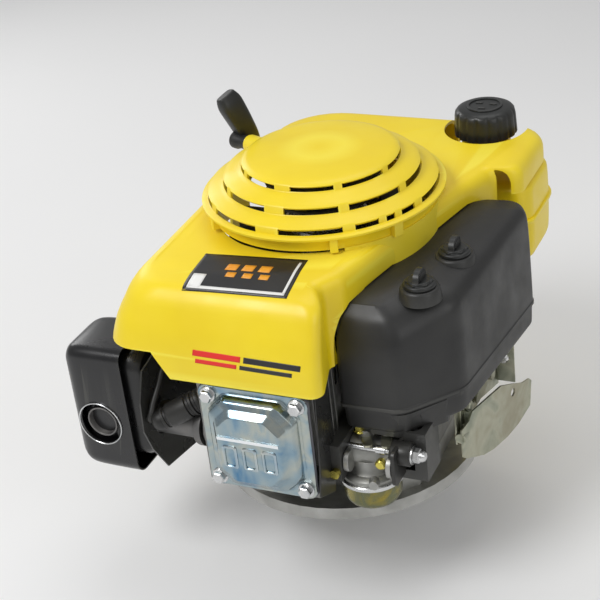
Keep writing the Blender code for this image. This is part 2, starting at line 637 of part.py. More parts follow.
def air_ring(level, shrink_x, shrink_y, grow):
    """A ring of the cover: pulled in towards its inner edge, higher towards the back."""
    rise = (level - AIR_SEAM_Z) / 95
    ring = []
    for x, y in air_outline(grow):
        inner = 71 + 0.15 * (y + 140)
        new_x = inner + (x - inner) * shrink_x
        new_y = -20 + (y + 20) * shrink_y
        tilt = 0.09 * (y + 30) * rise * min(1.0, max(0.0, (x - inner) / 60))
        ring.append((new_x, new_y, level + tilt + grow))
    return ring


def air_rings(grow=0.0):
    return [air_ring(level, shrink_x, shrink_y, grow) for level, shrink_x, shrink_y in (
        (AIR_SEAM_Z, 1, 1), (165, 0.99, 0.995), (188, 0.96, 0.98), (204, 0.89, 0.95), (217, 0.78, 0.905),
        (228, 0.64, 0.86), (233, 0.5, 0.81))]


def make_air_cleaner():
    cover = stack("air_cleaner_cover", air_rings(), BLACK, wall=2.4)
    base = stack("air_cleaner_base", [at_height(air_outline(-1), 133.5), at_height(air_outline(-1), AIR_SEAM_Z - GAP)],
                 BLACK)
    join(base, stack("base_tub", [at_height(tub_outline(), 112), at_height(tub_outline(2), 135)], BLACK),
         block("elbow", (106, -131, 70), (129, -100, 117), BLACK))
    cut(base, stack("base_hollow", [at_height(tub_outline(-3), 115), at_height(tub_outline(-2), 150)], BLACK),
        bar("air_inlet", (90, CARB_Y, CARB_Z), RIGHT, 12, 28, BLACK),
        bar("air_rise", (115, CARB_Y + 6, CARB_Z), UP, 8, 40, BLACK))
    pad = rounded([(80, -122, 8), (108, -122, 8), (119, -66, 8), (119, 50, 5), (112, 50, 3), (103, -4, 12),
                   (84, -108, 10)], steps=2)
    stack("filter_element", [at_height(pad, 119), at_height(pad, 168)], FOAM)
    for name, (x, y) in knob_places().items():
        make_knob(name, x, y)
        join(cover, bar(name + "_pad", (x, y, 221), UP, 15.5, PAD_TOP - 221, BLACK, sides=20))
        cut(cover, bar(name + "_hole", (x, y, 180), UP, 4.4, 80, BLACK, sides=12))


def knob_places():
    return {"cover_knob_front": (119.0, -92.0), "cover_knob_rear": (129.0, -33.0)}


def make_knob(name, x, y):
    z = PAD_TOP + GAP
    knob = bar(name, (x, y, z), UP, 13.5, 4, BLACK, sides=20)
    join(knob, bar(name + "_hex", (x, y, z + 3), UP, 11, 4, BLACK, sides=6),
         bar(name + "_stem", (x, y, z - 45), UP, 4, 48, BLACK, sides=12))
    wing = plate(name + "_wing", [(-9, 0)] + arc(0, 8, 9, 180, 0, 8) + [(9, 0)], 5, BLACK,
                 (x - 2.5, y, z + 6), UP_IN_YZ)
    join(knob, wing)


def make_carburettor():
    flange_x = CARB_X + 38
    body = bar("carburetor_body", (CARB_X, CARB_Y, CARB_Z), RIGHT, 14.5, 43, CAST, sides=20)
    join(body, block("inlet_flange", (CARB_X, CARB_Y - 25, CARB_Z - 12), (CARB_X + 5, CARB_Y + 25, CARB_Z + 12), CAST),
         block("outlet_flange", (flange_x, CARB_Y - 25, CARB_Z - 12), (flange_x + 5, CARB_Y + 25, CARB_Z + 12), CAST),
         bar("bowl_seat", (BOWL_X, BOWL_Y, 66 + GAP), UP, 26, 7, CAST),
         bar("bowl_column", (BOWL_X, BOWL_Y, 66 + GAP), UP, 12.5, 20, CAST))
    cut(body, bar("carb_bore", (40, CARB_Y, CARB_Z), RIGHT, 10, 80, CAST))
    for name, x in (("throttle_hole", THROTTLE_X), ("choke_hole", CHOKE_X)):
        cut(body, bar(name, (x, CARB_Y, CARB_Z), UP, 3 + GAP, 40, CAST, sides=12))
    turned("float_bowl", [(27.5, 66), (27.5, 63), (25, 62), (25, 47), (21, 40), (5.5, 38), (5.5, 40), (20, 42),
                          (23.4, 48), (23.4, 66)], YELLOW_ZINC, at=(BOWL_X, BOWL_Y, 0), closed=True)
    bolt = bar("bowl_bolt", (BOWL_X, BOWL_Y, 30), UP, 6.5, 8 - GAP, YELLOW_ZINC, sides=6)
    join(bolt, bar("bowl_bolt_shank", (BOWL_X, BOWL_Y, 36), UP, 4, 28, YELLOW_ZINC, sides=12))
    spacer = block("carburetor_insulator", (INTAKE_X + GAP, -156, CARB_Z - 15), (CARB_X - GAP, -100, CARB_Z + 20), BLACK)
    cut(spacer, bar("insulator_bore", (CARB_X - 8, CARB_Y, CARB_Z), RIGHT, 9, 20, BLACK),
        bar("insulator_port", (40, INTAKE_Y, CARB_Z), RIGHT, 9, CARB_X - 46, BLACK))


def make_levers():
    """Throttle and choke levers on their shafts, the governor arm and the speed control lever."""
    lever = rounded([(-5, -5, 4), (20, -4, 3), (20, 4, 3), (-5, 5, 4)], steps=2)
    for name, x, turn, lift in (("throttle_lever", THROTTLE_X, -60, 0), ("choke_lever", CHOKE_X, -75, 3)):
        top = CARB_Z + 14.5 + GAP + lift
        made = bar(name, (x, CARB_Y, CARB_Z - 9), UP, 3, top - CARB_Z + 10.5, GALVANISED, sides=12)
        join(made, plate(name + "_arm", lever, 2, GALVANISED, (x, CARB_Y, top),
                         Matrix.Rotation(math.radians(turn), 4, "Z")))
    arm = plate("governor_arm", rounded([(-7, -7, 6), (7, -7, 6), (4, 50, 4), (-4, 50, 4)], steps=2), 2.5,
                GALVANISED, (114, -66, 100), Matrix.Rotation(math.radians(30), 4, "Z"))
    join(arm, bar("governor_shaft", (114, -66, 84), UP, 4, 22, GALVANISED, sides=12))
    pivot = (136 + 2 * GAP, 10, 92)
    control = plate("control_lever", rounded([(-8, -8, 7), (8, -8, 7), (5, 38, 5), (-5, 38, 5)], steps=2), 2,
                    GALVANISED, pivot, Matrix.Rotation(math.radians(100), 4, "X") @ UP_IN_YZ)
    join(control, bar("control_pivot", pivot, RIGHT, 6, 6, GALVANISED, sides=12))


def make_dipstick():
    turned("oil_dipstick", [(0, 16), (12, 15), (14, 12), (14, 2), (9 - GAP, 2), (9 - GAP, -10), (2, -11),
           (2, -60), (0, -60)], BLACK, at=FILLER_FOOT + FILLER * 53, axis=FILLER, steps=20)


# Muffler, guard and ignition

def along_x(outline, x):
    return [(x, y, z) for y, z in outline]


def make_muffler():
    def ring(shrink, x):
        return along_x(rounded([(-158 + shrink, 62 + shrink, 14), (-100 - shrink, 62 + shrink, 14),
                                (-100 - shrink, 170 - shrink, 14), (-158 + shrink, 170 - shrink, 14)]), x)
    body = stack("muffler", [ring(8, -186), ring(0, -180), ring(0, -152), ring(-2.5, -151), ring(-2.5, -148),
                             ring(0, -147), ring(0, -124), ring(8, -118)], BLACK_SHEET)
    join(body, bar("outlet_pipe", (-163, -150, 102), FRONT, 15, 13, BLACK_SHEET),
         bar("inlet_pipe", (-120, -146, CYLINDER_Z - VALVE_SPREAD), RIGHT, 14, 57, BLACK_SHEET))
    cut(body, bar("outlet_bore", (-163, -140, 102), FRONT, 13, 40, BLACK_SHEET))


def make_guard():
    def ring(shrink, x):
        return along_x(rounded([(-166 + shrink, 50 + shrink, 14), (-92 - shrink, 50 + shrink, 16),
                                (-92 - shrink, 177 - shrink, 20), (-166 + shrink, 177 - shrink, 8)]), x)
    guard = stack("muffler_guard", [ring(0, -133), ring(0, -184), ring(2, -189), ring(7, -193)], BLACK_SHEET,
                  wall=1.5)
    cut(guard, bar("outlet_window", (-163, -120, 102), FRONT, 21, 60, BLACK_SHEET, sides=32))


def make_baffle():
    outline = [(-152, 56), (-60, 40), (-60, 150), (-90, 176), (-147, 169), (-167, 165), (-178, 139), (-180, 111),
               (-171, 87)]
    sheet = plate("cylinder_baffle", outline, 1.5, BLACK_SHEET, (-111, 0, 0),
                  UP_IN_YZ)
    cut(sheet, bar("baffle_pipe_hole", (-130, -146, CYLINDER_Z - VALVE_SPREAD), RIGHT, 16, 40, BLACK_SHEET))
    join(sheet, block("baffle_bracket", (-111, -74, 80), (-76 - GAP, -60, 110), BLACK_SHEET))


def make_ignition():
    cap_foot = PLUG_FOOT - PLUG * 14
    turned("spark_plug", [(0, 28), (6.8, 28), (6.8, 12), (10.5, 12), (10.5, 3), (7.5, 2), (7.5, -4), (4, -5),
                          (4, -26), (0, -26)], CERAMIC, at=cap_foot, axis=PLUG, steps=16)
    cap = turned("spark_plug_cap", [(0, 1.5), (10, 1.5), (10.5, -8), (10.5, -34), (7, -40), (0, -42)], RUBBER,
                 at=cap_foot, axis=PLUG, steps=16)
    cut(cap, bar("cap_mouth", cap_foot - PLUG * 5, PLUG, 7.9, 12, RUBBER, sides=16),
        bar("cap_core", cap_foot - PLUG * 28, PLUG, 4.4, 30, RUBBER, sides=16))
    block("ignition_coil", (-96, -96, 186), (-70, -74, 214), BLACK, bevel=2)
    tip = cap_foot - PLUG * 42.5
    route = [tip, tip - PLUG * 5, (-105, -171, 122), (-105, -163, 134), (-104, -150, 150), (-101, -132, 166),
             (-96, -118, 180), (-90, -108, 191), (-88, -103, 197), (-88, -96.4, 197)]
    tube("ignition_lead", route, 3.2, RUBBER)


# Controls

def make_controls():
    main = plate("control_plate", [(-74, 70), (-74, 108), (-40, 132), (44, 132), (44, 60), (-10, 76)], 1.6,
                 GALVANISED, (134, 0, 0), UP_IN_YZ)
    join(main, block("plate_return", (134, 42.4, 64), (152, 44, 132), GALVANISED),
         block("plate_stand", (100 + GAP, -30, 84), (135, -6, 96), GALVANISED))
    heading = math.atan2(24, 127)
    turn = Matrix.Rotation(-heading, 4, "Z") @ UP_IN_YZ
    shield = plate("control_shield", [(0, 60), (6, 55), (36, 40), (54, 35), (80, 32), (101, 33), (125, 39), (129, 64),
                                      (125, 68), (112, 71), (97, 79), (72, 91), (19, 96), (13, 90), (0, 88)],
                   1.6, GALVANISED, (140, -77, 0), turn)
    cut(shield, bar("shield_hole", (150, 14, 72), RIGHT, 4, 30, GALVANISED, sides=12))


def main():
    make_oil_pan()
    make_crankcase()
    make_bearings()
    make_drain_plug()
    make_crank()
    make_flywheel()
    make_camshaft()
    make_rod_and_piston()
    make_valve_train()
    make_head()
    make_gasket()
    make_valve_cover()
    make_cover_bolts()
    make_shroud()
    make_starter_housing()
    make_starter_reel()
    make_starter_handle()
    make_fuel_tank()
    make_fuel_cap()
    make_air_cleaner()
    make_carburettor()
    make_levers()
    make_dipstick()
    make_muffler()
    make_guard()
    make_baffle()
    make_ignition()
    make_controls()


main()
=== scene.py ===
"""The looks of a small vertical-shaft gasoline engine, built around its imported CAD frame.

Sizes are in millimetres in the frame's own axes: +Z up along the crankshaft, -Y towards the
cylinder head, +X towards the air cleaner. mm() turns them into metres.
"""
import json
import math

import bmesh
import bpy
from mathutils import Matrix, Vector
from mathutils.bvhtree import BVHTree


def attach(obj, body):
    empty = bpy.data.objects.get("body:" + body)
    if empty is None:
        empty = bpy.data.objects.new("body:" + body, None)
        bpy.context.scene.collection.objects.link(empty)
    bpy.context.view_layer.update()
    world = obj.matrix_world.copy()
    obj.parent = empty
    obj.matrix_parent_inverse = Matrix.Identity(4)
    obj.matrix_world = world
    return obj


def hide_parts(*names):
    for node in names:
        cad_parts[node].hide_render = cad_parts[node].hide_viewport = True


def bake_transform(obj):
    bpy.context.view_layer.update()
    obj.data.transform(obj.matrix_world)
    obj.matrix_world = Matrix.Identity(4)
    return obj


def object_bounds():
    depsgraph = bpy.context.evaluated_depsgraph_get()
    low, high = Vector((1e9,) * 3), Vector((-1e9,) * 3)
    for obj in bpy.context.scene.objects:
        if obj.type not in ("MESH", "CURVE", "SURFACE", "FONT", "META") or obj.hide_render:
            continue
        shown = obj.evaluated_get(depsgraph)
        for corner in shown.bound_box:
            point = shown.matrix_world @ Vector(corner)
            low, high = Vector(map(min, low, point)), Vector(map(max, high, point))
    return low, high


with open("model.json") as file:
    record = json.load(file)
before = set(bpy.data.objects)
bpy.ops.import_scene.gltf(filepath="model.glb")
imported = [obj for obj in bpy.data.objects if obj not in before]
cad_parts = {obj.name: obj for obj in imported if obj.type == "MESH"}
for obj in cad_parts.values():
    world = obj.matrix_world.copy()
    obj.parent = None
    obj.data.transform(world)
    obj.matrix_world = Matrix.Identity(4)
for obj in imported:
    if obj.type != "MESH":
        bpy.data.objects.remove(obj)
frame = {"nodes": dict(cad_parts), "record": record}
cad_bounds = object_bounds()

MM = 0.001
UP = Vector((0, 0, 1))
FRONT = Vector((0, -1, 0))
RIGHT = Vector((1, 0, 0))
PULL = Vector((-0.933, 0.36, 0)).normalized()
CYLINDER_Z = 121     # height of the cylinder axis
COVER_FACE = -178.3  # sealing face of the valve cover
BOLT_X, BOLT_Z = 40, 41  # the cover's bolts, from the cylinder axis
CARB = Vector((62, -126, 90))            # inlet end of the carburettor bore
BOWL = Vector((75, -124, 66))            # seat of the fuel bowl
STUD = Vector((0, -138, 100.5))          # line of the carburettor's stud, along X
CAP = Vector((92, 174, 0))               # axis of the fuel cap
TANK_TOP = 231
KNOBS = {"cover_knob_front": (119, -92), "cover_knob_rear": (129, -33)}
PAD_TOP = 235.5      # top of the round pads under the knobs
OUTLET = Vector((-163, -166, 102))       # middle of the guard's round window
PLUG = Vector((0.832, 0.368, 0.416)).normalized()  # spark plug axis, into the head
PLUG_FOOT = Vector((-52, -150, 142))
ROPE_Z = 290         # height of the rope guide
MERGE = 1e-4         # mm, distance under which points are one


# Mesh helpers

def mm(*values):
    return Vector(values) * MM


def turn_to(axis, up=None):
    """A rotation that takes +Z to the axis, and +Y near up where that is given."""
    axis = Vector(axis).normalized()
    if up is None and axis.z > 0.999:
        return Matrix.Identity(4)
    if up is None:
        return axis.to_track_quat("Z", "Y").to_matrix().to_4x4()
    side = Vector(up).cross(axis).normalized()
    return Matrix((side, axis.cross(side), axis)).transposed().to_4x4()


def finish_piece(name, bm, finish, body, angle=35, hides=()):
    """Makes a named piece from mesh data in millimetres, shades it and fixes it to a body, if any."""
    bmesh.ops.remove_doubles(bm, verts=bm.verts, dist=MERGE)
    bmesh.ops.recalc_face_normals(bm, faces=bm.faces)
    mesh = bpy.data.meshes.new(name)
    bm.to_mesh(mesh)
    bm.free()
    mesh.transform(Matrix.Scale(MM, 4))
    mesh.shade_smooth()
    mesh.set_sharp_from_angle(angle=math.radians(angle))
    mesh.materials.append(finish)
    piece = bpy.data.objects.new(name, mesh)
    bpy.context.scene.collection.objects.link(piece)
    if body:
        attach(piece, body)
    if hides:
        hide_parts(*hides)
    return piece


def bevel(piece, width, segments=2, angle=40):
    made = piece.modifiers.new("Bevel", "BEVEL")
    made.width = width * MM
    made.segments = segments
    made.limit_method = "ANGLE"
    made.angle_limit = math.radians(angle)
    made.harden_normals = True
    return piece


def thicken(piece, wall, offset=-1):
    made = piece.modifiers.new("Solidify", "SOLIDIFY")
    made.thickness = wall * MM
    made.offset = offset
    return piece


def add_loft(bm, rings, close_ends=True):
    """Skins closed rings of equal length, one on the next."""
    rows = [[bm.verts.new(point) for point in ring] for ring in rings]
    count = len(rows[0])
    for low, high in zip(rows, rows[1:]):
        for i in range(count):
            j = (i + 1) % count
            bm.faces.new((low[i], low[j], high[j], high[i]))
    if close_ends:
        bm.faces.new(rows[0][::-1])
        bm.faces.new(rows[-1])
    return rows


def add_turned(bm, profile, steps=48, at=(0, 0, 0), axis=UP, wave=None):
    """Turns an (r, z) profile about an axis: a solid where it meets the axis, otherwise a closed ring.

    wave(turn, radius, height) scales the radius for flutes.
    """
    place = Matrix.Translation(Vector(at)) @ turn_to(axis)
    solid = profile[0][0] == 0 or profile[-1][0] == 0
    rings = []
    for radius, height in profile:
        if radius == 0:
            continue
        ring = []
        for k in range(steps):
            turn = 2 * math.pi * k / steps
            reach = radius * (wave(turn, radius, height) if wave else 1)
            ring.append(place @ Vector((reach * math.cos(turn), reach * math.sin(turn), height)))
        rings.append(ring)
    if solid:
        add_loft(bm, rings)
    else:
        add_loft(bm, rings + rings[:1], close_ends=False)


def add_box(bm, low, high):
    low, high = Vector(low), Vector(high)
    made = bmesh.ops.create_cube(bm, size=1.0)["verts"]
    bmesh.ops.scale(bm, vec=high - low, verts=made)
    bmesh.ops.translate(bm, vec=(low + high) / 2, verts=made)


def add_prism(bm, outline, low, high, at=(0, 0, 0), axis=UP, up=None):
    place = Matrix.Translation(Vector(at)) @ turn_to(axis, up)
    add_loft(bm, [[place @ Vector((x, y, z)) for x, y in outline] for z in (low, high)])


def rounded(corners, steps=6):
    """A closed outline through (x, y, radius) corners, each rounded by an arc."""
    outline = []
    for i, (x, y, radius) in enumerate(corners):
        here = Vector((x, y))
        before = (Vector(corners[i - 1][:2]) - here).normalized()
        after = (Vector(corners[(i + 1) % len(corners)][:2]) - here).normalized()
        half = before.angle(after) / 2
        reach = radius / math.tan(half)
        centre = here + (before + after).normalized() * (radius / math.sin(half))
        first, last = here + before * reach - centre, here + after * reach - centre
        sweep = first.angle_signed(last)
        for k in range(steps + 1):
            outline.append(tuple(centre + Matrix.Rotation(-sweep * k / steps, 2) @ first))
    return outline


def smooth_rows(rows, parts=4):
    """More rows of numbers, along a smooth curve through the given ones."""
    out = []
    last = len(rows) - 1
    for i in range(last):
        p = [rows[max(i - 1, 0)], rows[i], rows[i + 1], rows[min(i + 2, last)]]
        for k in range(parts):
            t = k / parts
            weights = (-0.5 * t**3 + t**2 - 0.5 * t, 1.5 * t**3 - 2.5 * t**2 + 1,
                       -1.5 * t**3 + 2 * t**2 + 0.5 * t, 0.5 * t**3 - 0.5 * t**2)
            out.append(tuple(sum(w * q[n] for w, q in zip(weights, p)) for n in range(len(rows[0]))))
    out.append(tuple(rows[-1]))
    return out


def add_tube(bm, route, radius, sides=12):
    """A round tube along points, with closed ends."""
    points = [Vector(p) for p in route]
    rings = []
    side = None
    for i, point in enumerate(points):
        ahead = (points[min(i + 1, len(points) - 1)] - points[max(i - 1, 0)]).normalized()
        if side is None:
            side = ahead.orthogonal().normalized()
        side = (side - ahead * side.dot(ahead)).normalized()
        other = ahead.cross(side)
        rings.append([point + (side * math.cos(a) + other * math.sin(a)) * radius
                      for a in (2 * math.pi * k / sides for k in range(sides))])
    add_loft(bm, rings)


def add_hex_bolt(bm, at, axis, across, height, washer=0.0):
    """A hex head with a chamfered top, on a round washer flange where that is given."""
    r = across / math.sqrt(3)
    if washer:
        add_turned(bm, [(0, 0), (washer, 0), (washer, 0.8), (washer - 0.7, 1.5), (0, 1.5)], 28, at, axis)
    add_turned(bm, [(0, 0.5), (r, 0.5), (r, height - 0.9), (r * 0.86, height), (0, height)], 6, at, axis)


# Materials

class Nodes:
    """A short way to write a material's nodes."""

    def __init__(self, name, metallic, roughness):
        self.material = bpy.data.materials.new(name)
        self.material.use_nodes = True
        self.tree = self.material.node_tree
        self.shader = self.tree.nodes["Principled BSDF"]
        self.shader.inputs["Metallic"].default_value = metallic
        self.shader.inputs["Roughness"].default_value = roughness
        self.coordinates = self.tree.nodes.new("ShaderNodeTexCoord")

    def link(self, output, target):
        self.tree.links.new(output, target)

    def noise(self, scale, detail=3.0, stretch=(1, 1, 1), distortion=0.0):
        mapping = self.tree.nodes.new("ShaderNodeMapping")
        mapping.inputs["Scale"].default_value = stretch
        self.link(self.coordinates.outputs["Object"], mapping.inputs["Vector"])
        node = self.tree.nodes.new("ShaderNodeTexNoise")
        node.inputs["Scale"].default_value = scale
        node.inputs["Detail"].default_value = detail
        node.inputs["Distortion"].default_value = distortion
        self.link(mapping.outputs["Vector"], node.inputs["Vector"])
        return node.outputs["Fac"]

    def ramp(self, value, stops):
        node = self.tree.nodes.new("ShaderNodeValToRGB")
        while len(node.color_ramp.elements) < len(stops):
            node.color_ramp.elements.new(0.5)
        for element, (place, colour) in zip(node.color_ramp.elements, stops):
            element.position = place
            element.color = (*colour, 1)
        self.link(value, node.inputs["Fac"])
        return node.outputs["Color"]

    def spread(self, value, low, high):
        node = self.tree.nodes.new("ShaderNodeMapRange")
        node.inputs["From Min"].default_value = 0.3
        node.inputs["From Max"].default_value = 0.7
        node.inputs["To Min"].default_value = low
        node.inputs["To Max"].default_value = high
        self.link(value, node.inputs["Value"])
        return node.outputs["Result"]

    def mix(self, factor, a, b):
        node = self.tree.nodes.new("ShaderNodeMix")
        node.data_type = "RGBA"
        for value, place in ((factor, 0), (a, 6), (b, 7)):
            if isinstance(value, (int, float)):
                node.inputs[place].default_value = value
            elif isinstance(value, tuple):
                node.inputs[place].default_value = (*value, 1)
            else:
                self.link(value, node.inputs[place])
        return node.outputs[2]

    def edges(self, low=0.52, high=0.62):
        """Near 1 on outer edges, where a finish wears or catches dust."""
        geometry = self.tree.nodes.new("ShaderNodeNewGeometry")
        return self.ramp(geometry.outputs["Pointiness"], [(low, (0, 0, 0)), (high, (1, 1, 1))])

    def bumps(self, *layers):
        """Each layer is (height, strength, distance in mm)."""
        normal = None
        for height, strength, distance in layers:
            node = self.tree.nodes.new("ShaderNodeBump")
            node.inputs["Strength"].default_value = strength
            node.inputs["Distance"].default_value = distance * MM
            self.link(height, node.inputs["Height"])
            if normal is not None:
                self.link(normal, node.inputs["Normal"])
            normal = node.outputs["Normal"]
        self.link(normal, self.shader.inputs["Normal"])

    def done(self, colour, roughness=None):
        self.link(colour, self.shader.inputs["Base Color"])
        if roughness is not None:
            self.link(roughness, self.shader.inputs["Roughness"])
        return self.material


def moulded(name, dark, light, rough, grain, grain_size, wear=None, coat=0.0):
    """A moulded plastic: slow colour drift, fine grain and paler edges where wear is given."""
    n = Nodes(name, 0.0, rough[0])
    drift = n.noise(14, 4)
    colour = n.ramp(drift, [(0.35, dark), (0.65, light)])
    if wear:
        colour = n.mix(n.edges(), colour, wear)
    n.bumps((n.noise(grain_size, 2), grain, 0.06), (n.noise(60, 2), 0.12, 0.25))
    n.shader.inputs["Coat Weight"].default_value = coat
    n.shader.inputs["Coat Roughness"].default_value = 0.25
    return n.done(colour, n.spread(n.noise(35, 4), *rough))


def metal(name, stops, rough, scale=18, grain=0.15, grain_size=900, stretch=(1, 1, 1), wear=None):
    """A metal whose tint drifts through the stops, with fine grain in its gloss."""
    n = Nodes(name, 1.0, rough[0])
    tint = n.noise(scale, 3, distortion=0.8)
    colour = n.ramp(tint, stops)
    if wear:
        colour = n.mix(n.edges(0.53, 0.66), colour, wear)
    n.bumps((n.noise(grain_size, 3, stretch), grain, 0.05), (n.noise(90, 2), 0.06, 0.3))
    return n.done(colour, n.spread(n.noise(120, 4, stretch), *rough))


YELLOW = moulded("yellow_moulding", (0.86, 0.64, 0.008), (0.91, 0.70, 0.012), (0.34, 0.5), 0.25, 1500,
                 (0.93, 0.77, 0.05), 0.15)
LABEL_BLACK = moulded("label_black", (0.012, 0.012, 0.013), (0.02, 0.02, 0.022), (0.28, 0.4), 0.1, 900)
LABEL_WHITE = moulded("label_white", (0.78, 0.78, 0.76), (0.84, 0.84, 0.82), (0.35, 0.5), 0.1, 900)
LABEL_ORANGE = moulded("label_orange", (0.80, 0.30, 0.02), (0.88, 0.42, 0.03), (0.35, 0.5), 0.1, 900)
LABEL_RED = moulded("label_red", (0.75, 0.02, 0.015), (0.82, 0.03, 0.02), (0.35, 0.5), 0.1, 900)
BLACK = moulded("grained_black_moulding", (0.012, 0.012, 0.012), (0.022, 0.022, 0.021), (0.36, 0.52), 0.5,
                1300, (0.05, 0.05, 0.046))
KNOB_BLACK = moulded("smooth_black_moulding", (0.008, 0.009, 0.009), (0.016, 0.017, 0.016), (0.3, 0.46),
                     0.3, 1500, (0.05, 0.05, 0.047))
RUBBER = moulded("rubber", (0.008, 0.008, 0.008), (0.016, 0.015, 0.014), (0.32, 0.5), 0.35, 700,
                 (0.045, 0.045, 0.04))
ENAMEL = moulded("heat_enamel", (0.005, 0.005, 0.006), (0.011, 0.011, 0.012), (0.22, 0.38), 0.25, 500,
                 (0.04, 0.04, 0.036), 0.1)
CAST = metal("cast_alloy", [(0.3, (0.26, 0.26, 0.24)), (0.7, (0.44, 0.44, 0.42))], (0.42, 0.62), 25, 0.8, 420,
             wear=(0.75, 0.75, 0.73))
# A darker copy of the cast alloy, used for the cylinder head and crankcase.
DARK_CAST = metal("darker_cast_alloy", [(0.3, (0.10, 0.10, 0.10)), (0.7, (0.20, 0.20, 0.19))], (0.4, 0.6), 25,
                  0.8, 420, wear=(0.42, 0.42, 0.4))
STEEL = metal("bright_steel", [(0.3, (0.55, 0.56, 0.57)), (0.7, (0.74, 0.74, 0.73))], (0.18, 0.34), 40)
IRON = metal("grey_iron", [(0.3, (0.16, 0.16, 0.16)), (0.7, (0.26, 0.25, 0.24))], (0.45, 0.65), 30, 0.7, 350)
ZINC = metal("blue_zinc_plate", [(0.28, (0.07, 0.20, 0.36)), (0.43, (0.28, 0.38, 0.44)),
                                 (0.58, (0.44, 0.47, 0.43)), (0.75, (0.12, 0.28, 0.42))],
             (0.14, 0.28), 26, 0.2, 700, wear=(0.85, 0.88, 0.9))
SHEET = metal("galvanised_sheet_zinc", [(0.3, (0.30, 0.32, 0.25)), (0.5, (0.46, 0.46, 0.36)),
                                        (0.7, (0.38, 0.36, 0.27))], (0.34, 0.5), 30, 0.25, 500)
GOLD_ZINC = metal("yellow_zinc_plate", [(0.3, (0.34, 0.27, 0.05)), (0.5, (0.16, 0.17, 0.10)),
                                        (0.7, (0.46, 0.38, 0.08))], (0.2, 0.36), 35, 0.2, 700)
BRASS = metal("brass_fitting", [(0.3, (0.60, 0.50, 0.10)), (0.7, (0.74, 0.66, 0.16))], (0.2, 0.36), 60)
CERAMIC = moulded("glazed_ceramic", (0.78, 0.77, 0.72), (0.86, 0.85, 0.82), (0.12, 0.2), 0.05, 500)
FOAM = moulded("open_foam", (0.16, 0.15, 0.12), (0.30, 0.28, 0.22), (0.85, 0.95), 1.0, 500)
FIBRE = moulded("gasket_board", (0.10, 0.10, 0.12), (0.16, 0.16, 0.18), (0.7, 0.85), 0.6, 900)
ROPE = moulded("braided_rope", (0.5, 0.49, 0.45), (0.68, 0.67, 0.62), (0.8, 0.95), 1.0, 900)

CAD_FINISHES = {"yellow_plastic": YELLOW, "black_plastic": BLACK, "black_enamel": ENAMEL,
                "cast_aluminium": CAST, "steel": STEEL, "cast_iron": IRON, "zinc_plate": ZINC,
                "galvanised_sheet": SHEET, "yellow_zinc": GOLD_ZINC, "black_rubber": RUBBER,
                "white_ceramic": CERAMIC, "filter_foam": FOAM, "gasket_fibre": FIBRE, "rope_fibre": ROPE}


def paint_cad_nodes():
    """Every carried-over node gets its slot's finish, and a few get softened edges."""
    slots = {part["node"]: part["material_slot"] for part in frame["record"]["subparts"]}
    for name, node in frame["nodes"].items():
        node.data.materials.clear()
        node.data.materials.append(CAD_FINISHES[slots[name]])
        node.data.shade_smooth()
        node.data.set_sharp_from_angle(angle=math.radians(32))
    # The cylinder head and crankcase get the darker copy of the cast alloy.
    for name in ("cylinder_head", "crankcase"):
        frame["nodes"][name].data.materials[0] = DARK_CAST
    for name in ("carburetor_insulator", "air_cleaner_base", "control_plate", "control_shield", "oil_pan"):
        bevel(frame["nodes"][name], 0.6, 2)


# Yellow shroud, starter dome and label

def shroud_outline(flare, inset=0.0):
    left, front = -114 - flare + inset, -168 - 0.8 * flare + inset
    return rounded([(left, front, 30), (67 - inset, front, 10), (53 - inset, -138, 8), (66 - inset, -122, 20),
                    (112 - inset, 48, 22), (126 - inset, 88, 12), (150 - inset, 92, 12),
                    (150 - inset, 194 - inset, 34), (-112 + inset, 196 - inset, 55), (left, 40, 60)], steps=8)


def air_outline(grow=0.0):
    g = grow
    return rounded([(50 - g, -137 - g, 5), (111 + g * 0.6, -136 - g, 20), (151 + g, -88, 26),
                    (166 + g, 64, 12), (158 + g * 0.5, 78 + g, 10), (128, 76 + g, 14), (108 - g, 47, 20),
                    (67.5 - g, -120, 14)])


def air_rings(grow=0.0):
    """The air cleaner cover's rings: each rises from its front to its back height and is pulled in."""
    levels = smooth_rows([(138, 138, 1, 1), (152, 156, 0.996, 0.998), (168, 176, 0.99, 0.995),
                          (184, 204, 0.98, 0.988), (195, 223, 0.965, 0.978), (202, 231, 0.935, 0.962),
                          (209, 235, 0.86, 0.94), (218, 236.5, 0.72, 0.90), (226, 237.5, 0.5, 0.83)], 3)
    rings = []
    for front, back, shrink_x, shrink_y in levels:
        ring = []
        for x, y in air_outline(grow):
            inner = 71 + 0.15 * (y + 140)
            share = min(1.0, max(0.0, (y + 136) / 125)) ** 0.62
            ring.append((inner + (x - inner) * shrink_x, -20 + (y + 20) * shrink_y,
                         front + (back - front) * share + grow))
        rings.append(ring)
    return rings


def cut(piece, adder, *values):
    """Cuts the shape that adder(bm, *values) draws out of a piece, then throws that shape away."""
    bm = bmesh.new()
    adder(bm, *values)
    mesh = bpy.data.meshes.new("cutter")
    bmesh.ops.recalc_face_normals(bm, faces=bm.faces)
    bm.to_mesh(mesh)
    bm.free()
    mesh.transform(Matrix.Scale(MM, 4))
    cutter = bpy.data.objects.new("cutter", mesh)
    bpy.context.scene.collection.objects.link(cutter)
    modifier = piece.modifiers.new("Cut", "BOOLEAN")
    modifier.object = cutter
    modifier.solver = "MANIFOLD"
    apply_all(piece)
    bpy.data.objects.remove(cutter)


def apply_all(piece):
    """Applies a piece's modifiers, and its sharp edges are found again."""
    bpy.context.view_layer.update()
    done = bpy.data.meshes.new_from_object(piece.evaluated_get(bpy.context.evaluated_depsgraph_get()))
    piece.modifiers.clear()
    piece.data = done
    done.shade_smooth()
    done.set_sharp_from_angle(angle=math.radians(35))


